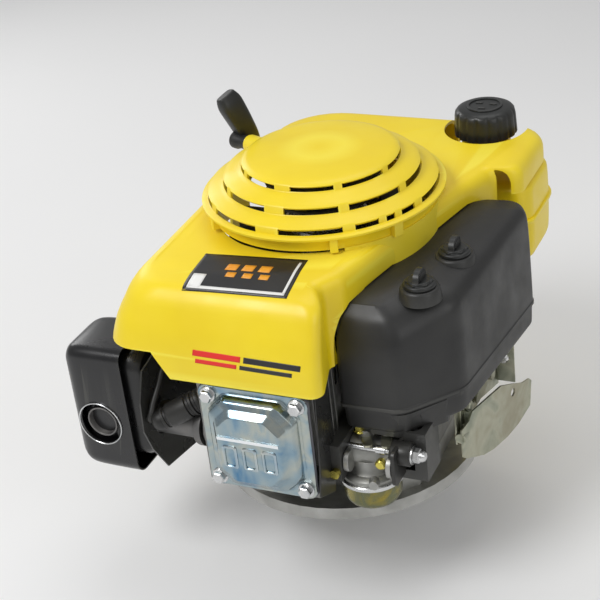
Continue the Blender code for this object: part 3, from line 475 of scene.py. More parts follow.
def make_shroud():
    rows = smooth_rows([(22, 0, 175), (21.5, 0, 188), (20, 0, 200), (15, 0, 220), (9, 0, 234)], 3)
    rows += [(6, 0, 241), (3.5, 0.2, 246), (1.5, 1.0, 250), (0, 2.8, 253.6), (0, 5.5, 256.2), (0, 9, 257.5),
             (0, 13, 258)]
    rings = []
    for flare, inset, z in rows:
        ring = []
        for x, y in shroud_outline(flare, inset):
            fall = min(0.0, (y + 100) * 0.12) * max(0.0, (z - 200) / 58)
            ring.append((x, y, z + fall))
        rings.append(ring)
    bm = bmesh.new()
    add_loft(bm, rings)
    shell = finish_piece("shroud_shell", bm, YELLOW, "engine", hides=["fan_shroud"])
    inner = [[(x * 0.978 - 0.3, y * 0.984, z - (30 if k == 0 else 2.2)) for x, y, z in ring]
             for k, ring in enumerate(rings)]
    cut(shell, add_loft, inner)
    dome_hole = [(0, 225), (96, 225), (96, 275), (0, 275)]
    cut(shell, add_turned, dome_hole, 96)
    air = air_rings(1.3)
    air_foot = [(x, y, z - 60) for x, y, z in air[0]]
    cut(shell, add_loft, [air_foot] + air)
    cap_recess = [(0, 0), (39, 0), (39, 60), (0, 60)]
    cut(shell, add_turned, cap_recess, 64, (CAP.x, CAP.y, 222))
    left_step = [(-200, 100), (-62, 100), (-62, 150), (-66, 168), (-86, 198), (-200, 198)]
    cut(shell, add_prism, left_step, -60, 230, (0, 0, 0), FRONT, UP)
    cut(shell, add_box, (-260, 90, 90), (260, 270, TANK_TOP + 1.2))
    bevel(shell, 0.9, 2, 30)
    return shell


def dome_profile():
    """(radius, height, slot row) points down the outside of the starter housing."""
    return [(0.01, 308, 0), (22, 307.8, 0), (42, 307.0, 0), (56, 305.9, 0), (63, 304.9, 0), (67.5, 303.6, 0),
            (69, 302.0, 1), (69.4, 297.9, 0), (70.2, 296.9, 0), (74, 295.6, 0), (80, 293.4, 0),
            (84.3, 291.9, 0), (85.8, 290.6, 2), (86.4, 284.9, 0), (87.2, 284.0, 0), (91, 282.9, 0),
            (96, 281.0, 0), (99.2, 279.8, 0), (100.7, 278.7, 3), (101.2, 273.7, 0), (102.2, 273.2, 0),
            (106, 273.0, 0), (107, 272.2, 0), (107, 270.6, 0), (106, 269.9, 0), (100, 269.9, 0),
            (99.2, 269.2, 0), (99.2, 258.3, 0)]


def rib_angles(row):
    """(centre, half width) of the ribs between the slots, in degrees."""
    ribs = [(-95 + 40 * k, 2.8) for k in range(9)]
    ribs[0] = (-95, 6.2)
    if row == 3:
        ribs += [(-38, 1.7), (-29, 2.2), (78, 1.7)]
    return ribs


def in_slot(row, angle):
    for centre, half in rib_angles(row):
        if abs((angle - centre + 180) % 360 - 180) < half:
            return False
    guide = math.degrees(math.atan2(PULL.y, PULL.x))
    return abs((angle - guide + 180) % 360 - 180) > 10


def make_dome():
    steps = 360
    profile = dome_profile()
    bm = bmesh.new()
    turns = [math.radians(k) for k in range(steps)]
    rows = [[bm.verts.new((radius * math.cos(a), radius * math.sin(a), height)) for a in turns]
            for radius, height, _ in profile]
    for i, (_, _, row) in enumerate(profile[:-1]):
        for k in range(steps):
            if row and in_slot(row, k + 0.5):
                continue
            j = (k + 1) % steps
            bm.faces.new((rows[i][k], rows[i + 1][k], rows[i + 1][j], rows[i][j]))
    dome = finish_piece("starter_dome", bm, YELLOW, "engine", hides=["starter_housing"],
                        angle=50)
    thicken(dome, 2.4)
    bevel(dome, 0.35, 2, 50)
    guide = bmesh.new()
    add_turned(guide, [(4.2, 0), (8.6, 0), (8.6, 27), (7.8, 29.6), (6.4, 30.4), (4.4, 30.4), (4.2, 29)], 40,
               PULL * 62 + UP * ROPE_Z, PULL)
    finish_piece("rope_guide_boss", guide, YELLOW, "engine")
    neck = bmesh.new()
    angles = [math.radians(a) for a in range(-58, 61, 2)]
    outline = [(100.5 * math.cos(a), 100.5 * math.sin(a)) for a in angles]
    outline += [(96.4 * math.cos(a), 96.4 * math.sin(a)) for a in reversed(angles)]
    add_prism(neck, outline, 232, 259)
    finish_piece("housing_neck", neck, YELLOW, "engine")
    posts = bmesh.new()
    for angle, half in ((-63, 3.4), (-31, 4.6), (-135, 3.4), (25, 4.6), (80, 3.4), (135, 4.6), (200, 3.4)):
        turn = math.radians(angle)
        out, side = Vector((math.cos(turn), math.sin(turn), 0)), Vector((-math.sin(turn), math.cos(turn), 0))
        place = turn_to(UP, side)
        outline = [(-4, -half), (4.4, -half), (4.4, half), (-4, half)]
        add_loft(posts, [[place @ Vector((-x, y, 0)) + out * 100.8 + UP * z for x, y in outline]
                         for z in (257.6, 270.2)])
    bevel(finish_piece("housing_feet", posts, YELLOW, "engine"), 0.7)


def patch(name, tree, finish, place, cells, direction, lift):
    """A thin sheet laid on a surface: place(u, v) starts a ray along direction that finds the surface.

    cells holds (u0, u1, v0, v1) areas from 0 to 1, each with a slant where it leans.
    """
    bm = bmesh.new()
    for u0, u1, v0, v1, *slants in cells:
        slant = slants[0] if slants else 0.0
        count_u = max(1, round((u1 - u0) * 40))
        count_v = max(1, round((v1 - v0) * 16))
        grid = []
        for a in range(count_u + 1):
            column = []
            for b in range(count_v + 1):
                v = v0 + (v1 - v0) * b / count_v
                u = u0 + (u1 - u0) * a / count_u + slant * (v - v0)
                hit = tree.ray_cast(place(u, v) * MM, direction)[0]
                column.append(bm.verts.new(hit / MM - direction * lift) if hit else None)
            grid.append(column)
        for a in range(count_u):
            for b in range(count_v):
                corners = (grid[a][b], grid[a + 1][b], grid[a + 1][b + 1], grid[a][b + 1])
                if all(corners):
                    bm.faces.new(corners)
    thicken(finish_piece(name, bm, finish, "engine"), 0.2, 0)


def make_labels(shell):
    depsgraph = bpy.context.evaluated_depsgraph_get()
    bpy.context.view_layer.update()
    tree = BVHTree.FromObject(shell, depsgraph)
    corner, along, across = Vector((-64, -108.5, 300)), Vector((92.5, 3.5, 0)), Vector((4.6, -55, 0))

    def on_top(u, v):
        return corner + along * u + across * v

    down = Vector((0, 0, -1))
    patch("label_plate", tree, LABEL_BLACK, on_top, [(0, 1, 0, 1)], down, 0.2)
    patch("label_border", tree, LABEL_WHITE, on_top,
          [(0.035, 0.06, 0.62, 0.94), (0.035, 0.965, 0.90, 0.955), (0.94, 0.965, 0.10, 0.95)], down, 0.4)
    patch("label_corner", tree, LABEL_WHITE, on_top, [(0.05, 0.16, 0.62, 0.93)], down, 0.42)
    bars = [(0.30 + 0.16 * k, 0.41 + 0.16 * k, 0.28, 0.46, -0.03) for k in range(3)]
    bars += [(0.34 + 0.16 * k, 0.43 + 0.16 * k, 0.52, 0.64, -0.03) for k in range(3)]
    patch("label_bars", tree, LABEL_ORANGE, on_top, bars, down, 0.45)
    start, width, drop = Vector((-46, -260, 205.5)), Vector((98, 0, -1.5)), Vector((0, 0, -13))

    def on_front(u, v):
        return start + width * u + drop * v

    back = Vector((0, 1, 0))
    patch("front_stripe_red", tree, LABEL_RED, on_front,
          [(0.0, 0.44, 0.0, 0.38, -0.02), (0.02, 0.40, 0.58, 0.86, -0.02)], back, 0.2)
    patch("front_stripe_black", tree, LABEL_BLACK, on_front,
          [(0.47, 0.98, 0.0, 0.38, -0.02), (0.43, 0.90, 0.58, 0.86, -0.02)], back, 0.2)


# Fuel tank and cap

def tank_ring(grow, z):
    outline = rounded([(-110 - grow, 106 - grow, 16), (152 + grow, 106 - grow, 16),
                       (152 + grow, 198 + grow, 34), (-110 - grow, 198 + grow, 44)], 8)
    return [(x, y, z) for x, y in outline]


def make_fuel_tank():
    levels = [(-14, 150), (-6, 152.5), (-1.5, 158), (0, 168), (0.5, 195), (0, 222), (-2, 228), (-7, TANK_TOP)]
    bm = bmesh.new()
    add_loft(bm, [tank_ring(grow, z) for grow, z in smooth_rows(levels, 3)])
    add_turned(bm, [(22, 224), (27, 229), (28, 231.4), (24.4, 233), (23.2, 236), (23, 252), (23.8, 253),
                    (23.8, 255), (23, 256), (23, 258.6), (22.4, 259), (19.4, 259), (19, 258.4), (19, 224)],
               64, (CAP.x, CAP.y, 0))
    finish_piece("tank_shell", bm, YELLOW, "engine", hides=["fuel_tank"])
    seam = bmesh.new()
    seam_levels = [(-2, 193.2), (2.2, 193.6), (2.6, 194.6), (2.6, 196), (2.2, 197), (-2, 197.4)]
    add_loft(seam, [tank_ring(grow, z) for grow, z in seam_levels])
    finish_piece("tank_weld_flange", seam, YELLOW, "engine")


def flutes(turn, radius, height):
    """Sixteen rounded scallops down the cap's side."""
    if radius < 27 or height > 277.5:
        return 1.0
    return 1.0 - 0.035 * (0.5 + 0.5 * math.cos(16 * turn)) ** 3


def make_fuel_cap():
    bm = bmesh.new()
    add_turned(bm, [(0, 280.4), (12, 280.4), (20.5, 280.0), (23.6, 279.2), (26.2, 277.9), (27.9, 275.8),
                    (28.6, 272), (29.2, 262), (29.6, 254.6), (29.2, 253.6), (26, 253.6), (25.4, 254.4),
                    (25.2, 271.8), (0, 271.8)], 192, (CAP.x, CAP.y, 0), UP, flutes)
    finish_piece("fuel_cap_shell", bm, KNOB_BLACK, "fuel_cap", hides=["fuel_cap"], angle=50)
    trim = bmesh.new()
    add_turned(trim, [(14.5, 280.3), (14.5, 281.1), (15.0, 281.4), (16.4, 281.4), (16.9, 281.1),
                      (16.9, 280.2)], 64, (CAP.x, CAP.y, 0))
    for k in range(3):
        turn = math.radians(25 + 120 * k)
        centre = Vector((CAP.x + 8 * math.cos(turn), CAP.y + 8 * math.sin(turn), 0))
        add_box(trim, centre + Vector((-3.4, -1.4, 280.3)), centre + Vector((3.4, 1.4, 281.2)))
    bevel(finish_piece("fuel_cap_trim", trim, KNOB_BLACK, "fuel_cap"), 0.25)


# Air cleaner

def make_air_cleaner():
    rings = air_rings()
    bm = bmesh.new()
    lip = [(x + (0.6 if x > 100 else -0.6), y + (0.6 if y > -30 else -0.6), z) for x, y, z in rings[0]]
    lip_top = [(x, y, z + 2.6) for x, y, z in lip]
    above_lip = [(x, y, z + 3.4) for x, y, z in rings[0]]
    add_loft(bm, [lip, lip_top, above_lip] + rings[1:])
    cover = finish_piece("air_cleaner_shell", bm, BLACK, "engine",
                         hides=["air_cleaner_cover"], angle=40)
    inner = [[(96 + (x - 96) * 0.955, -28 + (y + 28) * 0.972, z - (12 if k == 0 else 2.6))
              for x, y, z in ring] for k, ring in enumerate(rings)]
    cut(cover, add_loft, inner)
    bevel(cover, 0.4, 2, 45)
    band = bmesh.new()
    add_loft(band, [[(x, y, z) for x, y in air_outline(grow)] for grow, z in smooth_rows(
        [(-5, 116), (-2.6, 117), (-1.8, 120), (-1.4, 128), (-1.2, 137.6)], 2)])
    finish_piece("air_cleaner_band", band, BLACK, "engine", angle=50)
    pads = bmesh.new()
    for x, y in KNOBS.values():
        add_turned(pads, [(0, 224), (18, 224), (16.6, 233.6), (15.8, 235), (14.8, PAD_TOP), (0, PAD_TOP)],
                   56, (x, y, 0))
    finish_piece("cover_knob_pads", pads, BLACK, "engine", angle=50)


def make_knob(name, x, y):
    """A round flange, a hexagon above it and a D-shaped wing with a raised face on each side."""
    z = PAD_TOP + 0.4
    bm = bmesh.new()
    add_turned(bm, [(0, z), (13.4, z), (13.8, z + 0.8), (13.6, z + 2.6), (12.6, z + 3.4), (10.6, z + 3.6),
                    (10.2, z + 5.4), (9.6, z + 6), (0, z + 6)], 64, (x, y, 0))
    corners = [math.radians(20 + 60 * k) for k in range(6)]
    hexagon = [(11.8 * math.cos(a), 11.8 * math.sin(a)) for a in corners]
    add_prism(bm, hexagon, z + 2, z + 5.2, (x, y, 0))
    wing = [(-9.4, 0)] + [(9.4 * math.cos(math.radians(a)), 3.2 + 7.6 * math.sin(math.radians(a)))
                          for a in range(180, -1, -12)] + [(9.4, 0)]
    add_prism(bm, wing, -2.7, 2.7, (x, y, z + 4), RIGHT, UP)
    wing_face = rounded([(-6.2, 2, 1.5), (6.2, 2, 1.5), (5.2, 7.8, 3), (-5.2, 7.8, 3)], 3)
    bevel(finish_piece(name + "_grip", bm, KNOB_BLACK, name, hides=[name]), 0.6, 3)
    faces = bmesh.new()
    for side in (-1, 1):
        add_prism(faces, wing_face, -0.4, 0.4, (x + side * 2.8, y, z + 4), RIGHT, UP)
    bevel(finish_piece(name + "_grip_faces", faces, RUBBER, name), 0.25)


# Recoil handle

def make_handle():
    """A curved grip on the rope's end, leaning to the left at its top, and the rope itself."""
    side = PULL.cross(UP).normalized()
    spine = [PULL * p + side * s + UP * z for p, s, z in smooth_rows(
        [(114, 25, 262), (109.5, 19, 275), (106, 13, 289), (105.5, 7, 303), (107, 2, 316), (109, -2, 327),
         (111, -4.5, 335)], 4)]
    sizes = smooth_rows([(4.5, 7), (6, 8.6), (7, 9.8), (7.4, 10.6), (7.6, 11.4), (7.4, 11.6), (5.2, 9)], 4)
    rings = []
    for i, (point, (half_out, half_side)) in enumerate(zip(spine, sizes)):
        ahead = (spine[min(i + 1, len(spine) - 1)] - spine[max(i - 1, 0)]).normalized()
        across = ahead.cross(PULL).normalized()
        out = across.cross(ahead)
        ring = []
        for k in range(28):
            a = 2 * math.pi * k / 28
            c, s = math.cos(a), math.sin(a)
            ring.append(point + across * half_side * math.copysign(abs(c) ** 0.6, c)
                        + out * half_out * math.copysign(abs(s) ** 0.6, s))
        rings.append(ring)
    bm = bmesh.new()
    add_loft(bm, rings)
    neck = [(0, 0), (6.4, 0), (6.4, 8), (8, 12), (8, 18), (0, 18)]
    add_turned(bm, neck, 32, PULL * 92.6 + UP * ROPE_Z, PULL)
    grip = finish_piece("pull_grip", bm, KNOB_BLACK, "starter_handle",
                        hides=["starter_handle"])
    bevel(grip, 1.2, 2, 50)
    rope = bmesh.new()
    add_tube(rope, [PULL * (66 + 1.5 * k) + UP * ROPE_Z for k in range(24)], 2.1, 14)
    line = finish_piece("pull_rope", rope, ROPE, None)
    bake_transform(line)


# Valve cover

def cover_flange(grow):
    """The flange's outline: a lobe round each bolt and sides that pull in between them."""
    steps = 10
    outline = []
    for sx, sz, start in ((1, -1, -112), (1, 1, -22), (-1, 1, 68), (-1, -1, 158)):
        for k in range(steps + 1):
            a = math.radians(start + 134 * k / steps)
            outline.append((BOLT_X * sx + (9.8 + grow) * math.cos(a),
                            BOLT_Z * sz + (9.8 + grow) * math.sin(a)))
    return outline


def cover_octagon(half_x, half_z, chamfer):
    return rounded([(half_x, -half_z + chamfer, 5), (half_x, half_z - chamfer, 5),
                    (half_x - chamfer, half_z, 5), (-half_x + chamfer, half_z, 5),
                    (-half_x, half_z - chamfer, 5), (-half_x, -half_z + chamfer, 5),
                    (-half_x + chamfer, -half_z, 5), (half_x - chamfer, -half_z, 5)], 3)


def resampled(outline, count=128):
    """The same closed outline as evenly spaced points, starting from the right."""
    points = [Vector(p) for p in outline]
    angles = [2 * math.pi * k / count for k in range(count)]
    found = []
    for a in angles:
        way = Vector((math.cos(a), math.sin(a)))
        best = None
        for p, q in zip(points, points[1:] + points[:1]):
            edge = q - p
            cross = way.x * edge.y - way.y * edge.x
            if abs(cross) < 1e-9:
                continue
            reach = (p.x * edge.y - p.y * edge.x) / cross
            part = (p.x * way.y - p.y * way.x) / cross
            if reach > 0 and -1e-6 <= part <= 1 + 1e-6 and (best is None or reach > best):
                best = reach
        found.append(way * best)
    return found


def make_valve_cover():
    layers = [(cover_flange(0), 1.5), (cover_flange(-0.8), 2.3),
              (cover_octagon(41.6, 44.6, 15), 2.4), (cover_octagon(40.4, 43.4, 15), 3.4),
              (cover_octagon(38.6, 41.6, 14.6), 9.5), (cover_octagon(37.2, 40.2, 14.4), 11),
              (cover_octagon(33.6, 36.8, 13.6), 12.2), (cover_octagon(32.4, 35.6, 13.4), 13.2),
              (cover_octagon(29.6, 32.6, 12.6), 17.6), (cover_octagon(28.2, 31.2, 12.2), 18.6)]
    rings = [[Vector((p.x, COVER_FACE - depth, CYLINDER_Z + p.y)) for p in resampled(outline)]
             for outline, depth in layers]
    bm = bmesh.new()
    rows = add_loft(bm, rings, close_ends=False)
    bm.faces.new(rows[-1])
    cover = finish_piece("rocker_cover", bm, ZINC, "engine", hides=["valve_cover"], angle=28)
    thicken(cover, 1.2)
    bevel(cover, 0.5, 2, 28)
    face = COVER_FACE - 18.6
    trim = bmesh.new()
    add_box(trim, (-28, face - 1.2, CYLINDER_Z + 9.5), (28, face + 0.6, CYLINDER_Z + 12.3))
    for k in range(3):
        centre = Vector((-18 + 18 * k, face, CYLINDER_Z - 7))
        outline = rounded([(-6.6, -11, 2.6), (6.6, -11, 2.6), (6.6, 11, 2.6), (-6.6, 11, 2.6)], 4)
        inside = [(x * 0.62, y * 0.76) for x, y in outline]
        outer_crest = [(x * 0.9, y * 0.94) for x, y in outline]
        inner_crest = [(x * 1.12, y * 1.06) for x, y in inside]
        loops = ((outline, 0.5), (outline, -0.7), (outer_crest, -1.2), (inner_crest, -1.2), (inside, -0.7),
                 (inside, 0.5))
        add_loft(trim, [[centre + Vector((x, depth, z)) for x, z in loop] for loop, depth in loops])
    finish_piece("rocker_cover_ribs", trim, ZINC, "engine", angle=30)
    for index, (sx, sz) in enumerate(((-1, 1), (1, 1), (-1, -1), (1, -1))):
        x, z = sx * BOLT_X, CYLINDER_Z + sz * BOLT_Z
        bolt = bmesh.new()
        add_hex_bolt(bolt, (x, COVER_FACE - 2.4, z), FRONT, 10, 6.5, 7.4)
        add_turned(bolt, [(0, -16), (2.8, -16), (2.8, 0.4), (0, 0.4)], 20, (x, COVER_FACE - 2.4, z), FRONT)
        finish_piece(f"cover_bolt_{index + 1}", bolt, STEEL, "engine", angle=25,
                     hides=[f"valve_cover_bolt_{index + 1}"])


# Muffler side

def make_muffler_guard():
    def ring(shrink, x):
        return [Vector((x, y, z)) for y, z in rounded(
            [(-166 + shrink, 50 + shrink, 14), (-92 - shrink, 50 + shrink, 16),
             (-92 - shrink, 177 - shrink, 22), (-166 + shrink, 177 - shrink, 10)], 8)]
    levels = [(0, -133), (0, -150), (0.3, -172), (1.2, -182), (3.5, -187.6), (7.5, -191.6), (13, -193)]
    bm = bmesh.new()
    rows = add_loft(bm, [ring(s, x) for s, x in smooth_rows(levels, 3)], close_ends=False)
    bm.faces.new(rows[-1])
    guard = finish_piece("guard_shell", bm, ENAMEL, "engine", hides=["muffler_guard"])
    thicken(guard, 1.5)
    window = [(0, 0), (20.5, 0), (20.5, 30), (0, 30)]
    cut(guard, add_turned, window, 64, OUTLET - FRONT * 14, FRONT)
    bevel(guard, 0.4, 2, 35)
    rim = bmesh.new()
    add_turned(rim, [(20.4, 0), (20.4, 1.2), (20.8, 1.6), (21.3, 1.6), (21.6, 1.2), (21.6, 0)], 64,
               OUTLET, FRONT)
    finish_piece("guard_window_rim", rim, STEEL, "engine")


def make_muffler():
    def ring(shrink, x):
        return [Vector((x, y, z)) for y, z in rounded(
            [(-158 + shrink, 62 + shrink, 16), (-100 - shrink, 62 + shrink, 16),
             (-100 - shrink, 170 - shrink, 16), (-158 + shrink, 170 - shrink, 16)], 8)]
    levels = [(12, -186), (4, -184.5), (0.8, -180), (0, -172), (0, -156), (0.2, -152.4), (-3, -151.4),
              (-3.4, -150.4), (-3.4, -148.8), (-3, -147.8), (0.2, -146.8), (0, -142), (0.8, -127), (4, -121),
              (12, -118)]
    bm = bmesh.new()
    add_loft(bm, [ring(s, x) for s, x in levels])
    finish_piece("muffler_can", bm, ENAMEL, "engine", hides=["muffler"])
    pipes = bmesh.new()
    add_turned(pipes, [(13, -10), (15, -10), (15, 13), (14.6, 13.6), (13.4, 13.6), (13, 13)], 48,
               (-163, -150, 102), FRONT)
    add_turned(pipes, [(13, 0), (14.4, 0), (14.4, 48), (19, 49), (20, 51), (20, 56), (13, 56)], 48,
               (-120, -146, CYLINDER_Z - 15), RIGHT)
    finish_piece("muffler_pipes", pipes, IRON, "engine")


def make_plug_cap():
    """The spark plug cap: a ball end, a ringed neck, a barrel and ribbed boot."""
    bm = bmesh.new()
    add_turned(bm, [(7.9, 1.5), (10.4, 1.5), (11, 0.4), (11, -2), (10, -3), (10, -5), (11, -6), (11, -8),
                    (10, -9), (10, -11), (11, -12), (11, -30), (10.2, -31.6), (9, -32.4), (9, -34),
                    (9.8, -34.6), (9.8, -36.4), (8.8, -37), (9.2, -40), (8.2, -44), (5.6, -47), (2.4, -48.4),
                    (0, -48.6)], 48, PLUG_FOOT - PLUG * 14, PLUG)
    finish_piece("plug_boot", bm, RUBBER, "engine", hides=["spark_plug_cap"], angle=30)


LEAD_ROUTE = [(-103, -170, 119), (-106, -173, 121), (-105, -171, 126), (-105, -165, 133), (-104, -155, 143),
              (-103, -147, 153), (-101, -135, 164), (-98, -125, 174), (-95, -116, 184), (-91, -109, 192),
              (-88, -103, 197), (-88, -96.4, 197)]


def make_lead():
    route = smooth_rows(LEAD_ROUTE, 4)
    bm = bmesh.new()
    add_tube(bm, route, 3.1, 14)
    lead = finish_piece("ignition_cable", bm, RUBBER, "engine", hides=["ignition_lead"])


# Cylinder, carburettor and controls

def make_block_trim():
    """Fins round the head, and the gasket under the valve cover."""
    fins = bmesh.new()
    for k in range(6):
        y = -131.2 - 8.0 * k
        add_box(fins, (-55, y - 1.1, 68.5), (-50, y + 1.1, 171.5))
        add_box(fins, (46, y - 1.1, 100), (51.5, y + 1.1, 171.5))
        add_box(fins, (-52, y - 1.1, 66.5), (48, y + 1.1, 72))
    bevel(finish_piece("head_fins", fins, DARK_CAST, "engine"), 0.5)
    gasket = bmesh.new()
    outer, inner = resampled(cover_flange(0.6), 96), resampled(cover_octagon(36.4, 39.4, 13), 96)
    loops = ((outer, -178.9), (outer, -176.8), (inner, -176.8), (inner, -178.9), (outer, -178.9))
    add_loft(gasket, [[Vector((p.x, y, CYLINDER_Z + p.y)) for p in outline] for outline, y in loops],
             close_ends=False)
    finish_piece("cover_gasket", gasket, FIBRE, "engine")


def make_side_strip():
    """The thin dark deflector beside the head, with its point near the mounting face."""
    bm = bmesh.new()
    outline = [(-172, 171), (-150, 172), (-146, 130), (-150, 84), (-154, 62), (-183, 76), (-178, 100),
               (-174, 140)]
    add_loft(bm, [[Vector((x, y, z)) for y, z in outline] for x in (52.2, 53.6)])
    bevel(finish_piece("side_deflector", bm, ENAMEL, "engine"), 0.3)


def make_carburettor():
    body = bmesh.new()
    add_turned(body, [(10, 0), (14.4, 0), (14.4, 9), (13, 12), (12.4, 22), (13.4, 30), (14.8, 33), (14.8, 43),
                      (10, 43)], 40, CARB, RIGHT)
    flange = rounded([(-27, -10, 8), (27, -10, 8), (27, 10, 8), (-27, 10, 8)], 5)
    for x in (0.2, 38):
        add_prism(body, flange, 0, 4.6, CARB + RIGHT * x, RIGHT, UP)
    add_turned(body, [(0, 0.3), (26.4, 0.3), (26.4, 5), (25, 6.6), (20, 8), (17.6, 11), (16.8, 20), (0, 21)],
               48, BOWL)
    add_turned(body, [(0, 0), (6.4, 0), (6.4, 9), (5.6, 10), (0, 10)], 24, CARB + Vector((12, 0, 12)))
    add_turned(body, [(0, 0), (5, 0), (5, 7), (4.2, 8), (0, 8)], 24, CARB + Vector((31, 0, 13)))
    add_tube(body, [BOWL + Vector((10, -20, 6)), BOWL + Vector((13, -25, 7)), BOWL + Vector((13, -29, 7))],
             4.4, 20)
    casting = finish_piece("carburettor_casting", body, CAST, "engine",
                           hides=["carburetor_body"])
    bevel(casting, 0.6, 2, 35)
    bowl = bmesh.new()
    add_turned(bowl, [(23.6, -0.2), (27.4, -0.2), (27.9, -0.8), (27.9, -2.4), (27.2, -3.2), (25.6, -3.8),
                      (25.2, -5.2), (25.1, -16), (24.4, -19.5), (22.4, -23), (19, -25.6), (14.5, -27.0),
                      (8, -27.4), (6.6, -27.8), (5.6, -28), (5.6, -26.6), (19, -24.4), (23.6, -18)], 72, BOWL)
    finish_piece("fuel_bowl", bowl, GOLD_ZINC, "engine", hides=["float_bowl"], angle=40)
    ring = bmesh.new()
    add_turned(ring, [(25.2, 1.9), (27.9, 1.9), (28.6, 1.2), (28.6, -1.6), (28.2, -2.4), (27.0, -2.6),
                      (27.0, -0.4), (25.2, -0.4)], 72, BOWL)
    finish_piece("bowl_rim", ring, STEEL, "engine")


def make_carburettor_fittings():
    """Bowl bolt and brass screws, the long stud with its nut, and the sleeve on its flange."""
    small = bmesh.new()
    add_turned(small, [(0, 0), (7.6, 0), (7.6, -1.2), (0, -1.2)], 32, BOWL + Vector((0, 0, -28.0)))
    add_hex_bolt(small, BOWL + Vector((0, 0, -29)), -UP, 10, 6.5)
    add_turned(small, [(0, 0), (4.6, 0), (4.6, 4), (3.4, 5), (0, 5)], 24, CARB + Vector((30, -14, -1)), FRONT)
    add_hex_bolt(small, (CARB.x + 8, CARB.y - 2, CARB.z + 20), UP, 9, 7, 6)
    add_turned(small, [(0, 0), (4.2, 0), (4.2, 5), (0, 5)], 24, (57, -156, 84), FRONT)
    finish_piece("brass_fittings", small, BRASS, "engine", hides=["bowl_bolt"], angle=25)
    rod = bmesh.new()
    add_turned(rod, [(0, 0), (2.6, 0), (2.6, 78), (0, 78)], 24, STUD + RIGHT * 50, RIGHT)
    add_turned(rod, [(0, 0), (3.8, 0), (3.8, 8), (0, 8)], 24, STUD + RIGHT * 88, RIGHT)
    add_turned(rod, [(0, 0), (8.2, 0), (8.2, 1.4), (0, 1.4)], 32, STUD + RIGHT * 119.5, RIGHT)
    add_hex_bolt(rod, STUD + RIGHT * 120.6, RIGHT, 11, 6)
    add_turned(rod, [(5, 0), (4.8, 2.4), (3.6, 4.4), (1.6, 5.4), (0, 5.6)], 24, STUD + RIGHT * 126.4, RIGHT)
    finish_piece("carburettor_stud", rod, STEEL, "engine", angle=25)
    sleeve = bmesh.new()
    add_turned(sleeve, [(3, 0), (9.6, 0), (10.2, 1), (10.2, 17), (9.6, 18), (3, 18)], 36,
               STUD + RIGHT * 101.5, RIGHT)
    add_prism(sleeve, rounded([(-31, -16, 6), (31, -16, 6), (31, 18, 6), (-31, 18, 6)], 4), 0, 3.4,
              (106, -124, 92), RIGHT, UP)
    bevel(finish_piece("stud_sleeve", sleeve, RUBBER, "engine"), 0.5)


def make_control_trim():
    """Screws, cable clamp and pivots on the control plates."""
    bm = bmesh.new()
    for y, z in ((-52, 92), (-30, 104), (30, 112), (4, 92)):
        add_turned(bm, [(0, 0), (5.4, 0), (5, 2), (3.4, 3), (0, 3.2)], 28, (135.6, y, z), RIGHT)
        add_box(bm, (138.2, y - 0.5, z - 3.4), (138.9, y + 0.5, z + 3.4))
    for z, r in ((118, 6.2), (106, 6.8), (90, 5.6)):
        add_turned(bm, [(0, 0), (r, 0), (r, 2), (r - 1.4, 4.2), (0, 4.6)], 28, (142, 42.2, z), FRONT)
        add_turned(bm, [(0, 0), (r, 0), (r, 5), (0, 5)], 6, (142, 44, z), -FRONT)
    finish_piece("control_screws", bm, STEEL, "engine", angle=28)
    clamp = bmesh.new()
    add_box(clamp, (135.6, -66, 74), (137.2, -44, 104))
    add_box(clamp, (137.2, -60, 82), (143, -58, 96))
    add_turned(clamp, [(0, 0), (5, 0), (5, 14), (0, 14)], 24, (139, -62, 78), FRONT)
    add_hex_bolt(clamp, (137, -54, 99), RIGHT, 9, 6, 6.5)
    bevel(finish_piece("cable_clamp", clamp, SHEET, "engine"), 0.4)
    spring = bmesh.new()
    coil = [(128 + 2.8 * math.cos(1.2 * k), -58 + 0.55 * k, 108 + 2.8 * math.sin(1.2 * k)) for k in range(90)]
    add_tube(spring, coil, 0.55, 6)
    finish_piece("governor_spring", spring, STEEL, "engine")


# Camera, light and floor

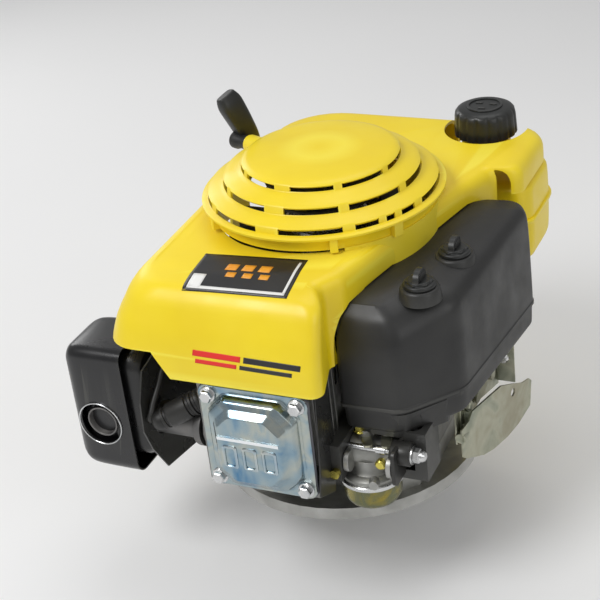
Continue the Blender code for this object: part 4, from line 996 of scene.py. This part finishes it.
def make_camera():
    """The viewing angle: 27 degrees to the right of the front, 29 above and rolled by 7."""
    azimuth, elevation, roll = (math.radians(a) for a in (27, 29, 7))
    ahead = Vector((-math.sin(azimuth) * math.cos(elevation), math.cos(azimuth) * math.cos(elevation),
                    -math.sin(elevation)))
    level = Vector((math.cos(azimuth), math.sin(azimuth), 0))
    above = level.cross(ahead)
    right = math.cos(roll) * level - math.sin(roll) * above
    top = math.sin(roll) * level + math.cos(roll) * above
    data = bpy.data.cameras.new("view")
    data.lens = 90
    data.sensor_width = 36
    camera = bpy.data.objects.new("view", data)
    bpy.context.scene.collection.objects.link(camera)
    turn = Matrix((right, top, -ahead)).transposed().to_4x4()
    station = mm(512, -1077, 821)
    camera.matrix_world = Matrix.Translation(station) @ turn
    bpy.context.scene.camera = camera
    bpy.context.scene.view_settings.view_transform = "Standard"


def make_light():
    world = bpy.data.worlds.new("studio")
    world.use_nodes = True
    background = world.node_tree.nodes["Background"]
    background.inputs["Color"].default_value = (1, 1, 1, 1)
    background.inputs["Strength"].default_value = 0.42
    bpy.context.scene.world = world
    for name, place, size, power in (("key", (-0.6, -1.2, 1.7), 0.9, 19), ("fill", (1.6, -0.8, 1.0), 1.2, 5),
                                     ("top", (0.1, 0.5, 1.9), 1.4, 7), ("rim", (-1.5, 0.9, 0.9), 0.8, 5)):
        data = bpy.data.lights.new(name, "AREA")
        data.shape = "DISK"
        data.size = size
        data.energy = power
        lamp = bpy.data.objects.new(name, data)
        bpy.context.scene.collection.objects.link(lamp)
        lamp.location = place
        lamp.rotation_euler = (Vector((0, 0, 0.15)) - Vector(place)).to_track_quat("-Z", "Y").to_euler()


def make_floor():
    """A pale level floor just under the output shaft's end."""
    bm = bmesh.new()
    level = cad_bounds[0][2] / MM - 0.5
    half = 6000
    corners = ((-half, -half), (half, -half), (half, half), (-half, half))
    bm.faces.new([bm.verts.new((x, y, level)) for x, y in corners])
    mesh = bpy.data.meshes.new("studio_floor")
    bm.to_mesh(mesh)
    bm.free()
    mesh.transform(Matrix.Scale(MM, 4))
    n = Nodes("pale_floor", 0.0, 0.8)
    shade = n.ramp(n.noise(2, 2), [(0.3, (0.86, 0.86, 0.86)), (0.7, (0.88, 0.88, 0.88))])
    mesh.materials.append(n.done(shade))
    floor = bpy.data.objects.new("studio_floor", mesh)
    bpy.context.scene.collection.objects.link(floor)


def main():
    paint_cad_nodes()
    make_camera()
    make_light()
    make_floor()
    shell = make_shroud()
    make_dome()
    make_labels(shell)
    make_fuel_tank()
    make_fuel_cap()
    make_air_cleaner()
    for name, (x, y) in KNOBS.items():
        make_knob(name, x, y)
    make_handle()
    make_valve_cover()
    make_muffler_guard()
    make_muffler()
    make_plug_cap()
    make_lead()
    make_block_trim()
    make_side_strip()
    make_carburettor()
    make_carburettor_fittings()
    make_control_trim()


main()
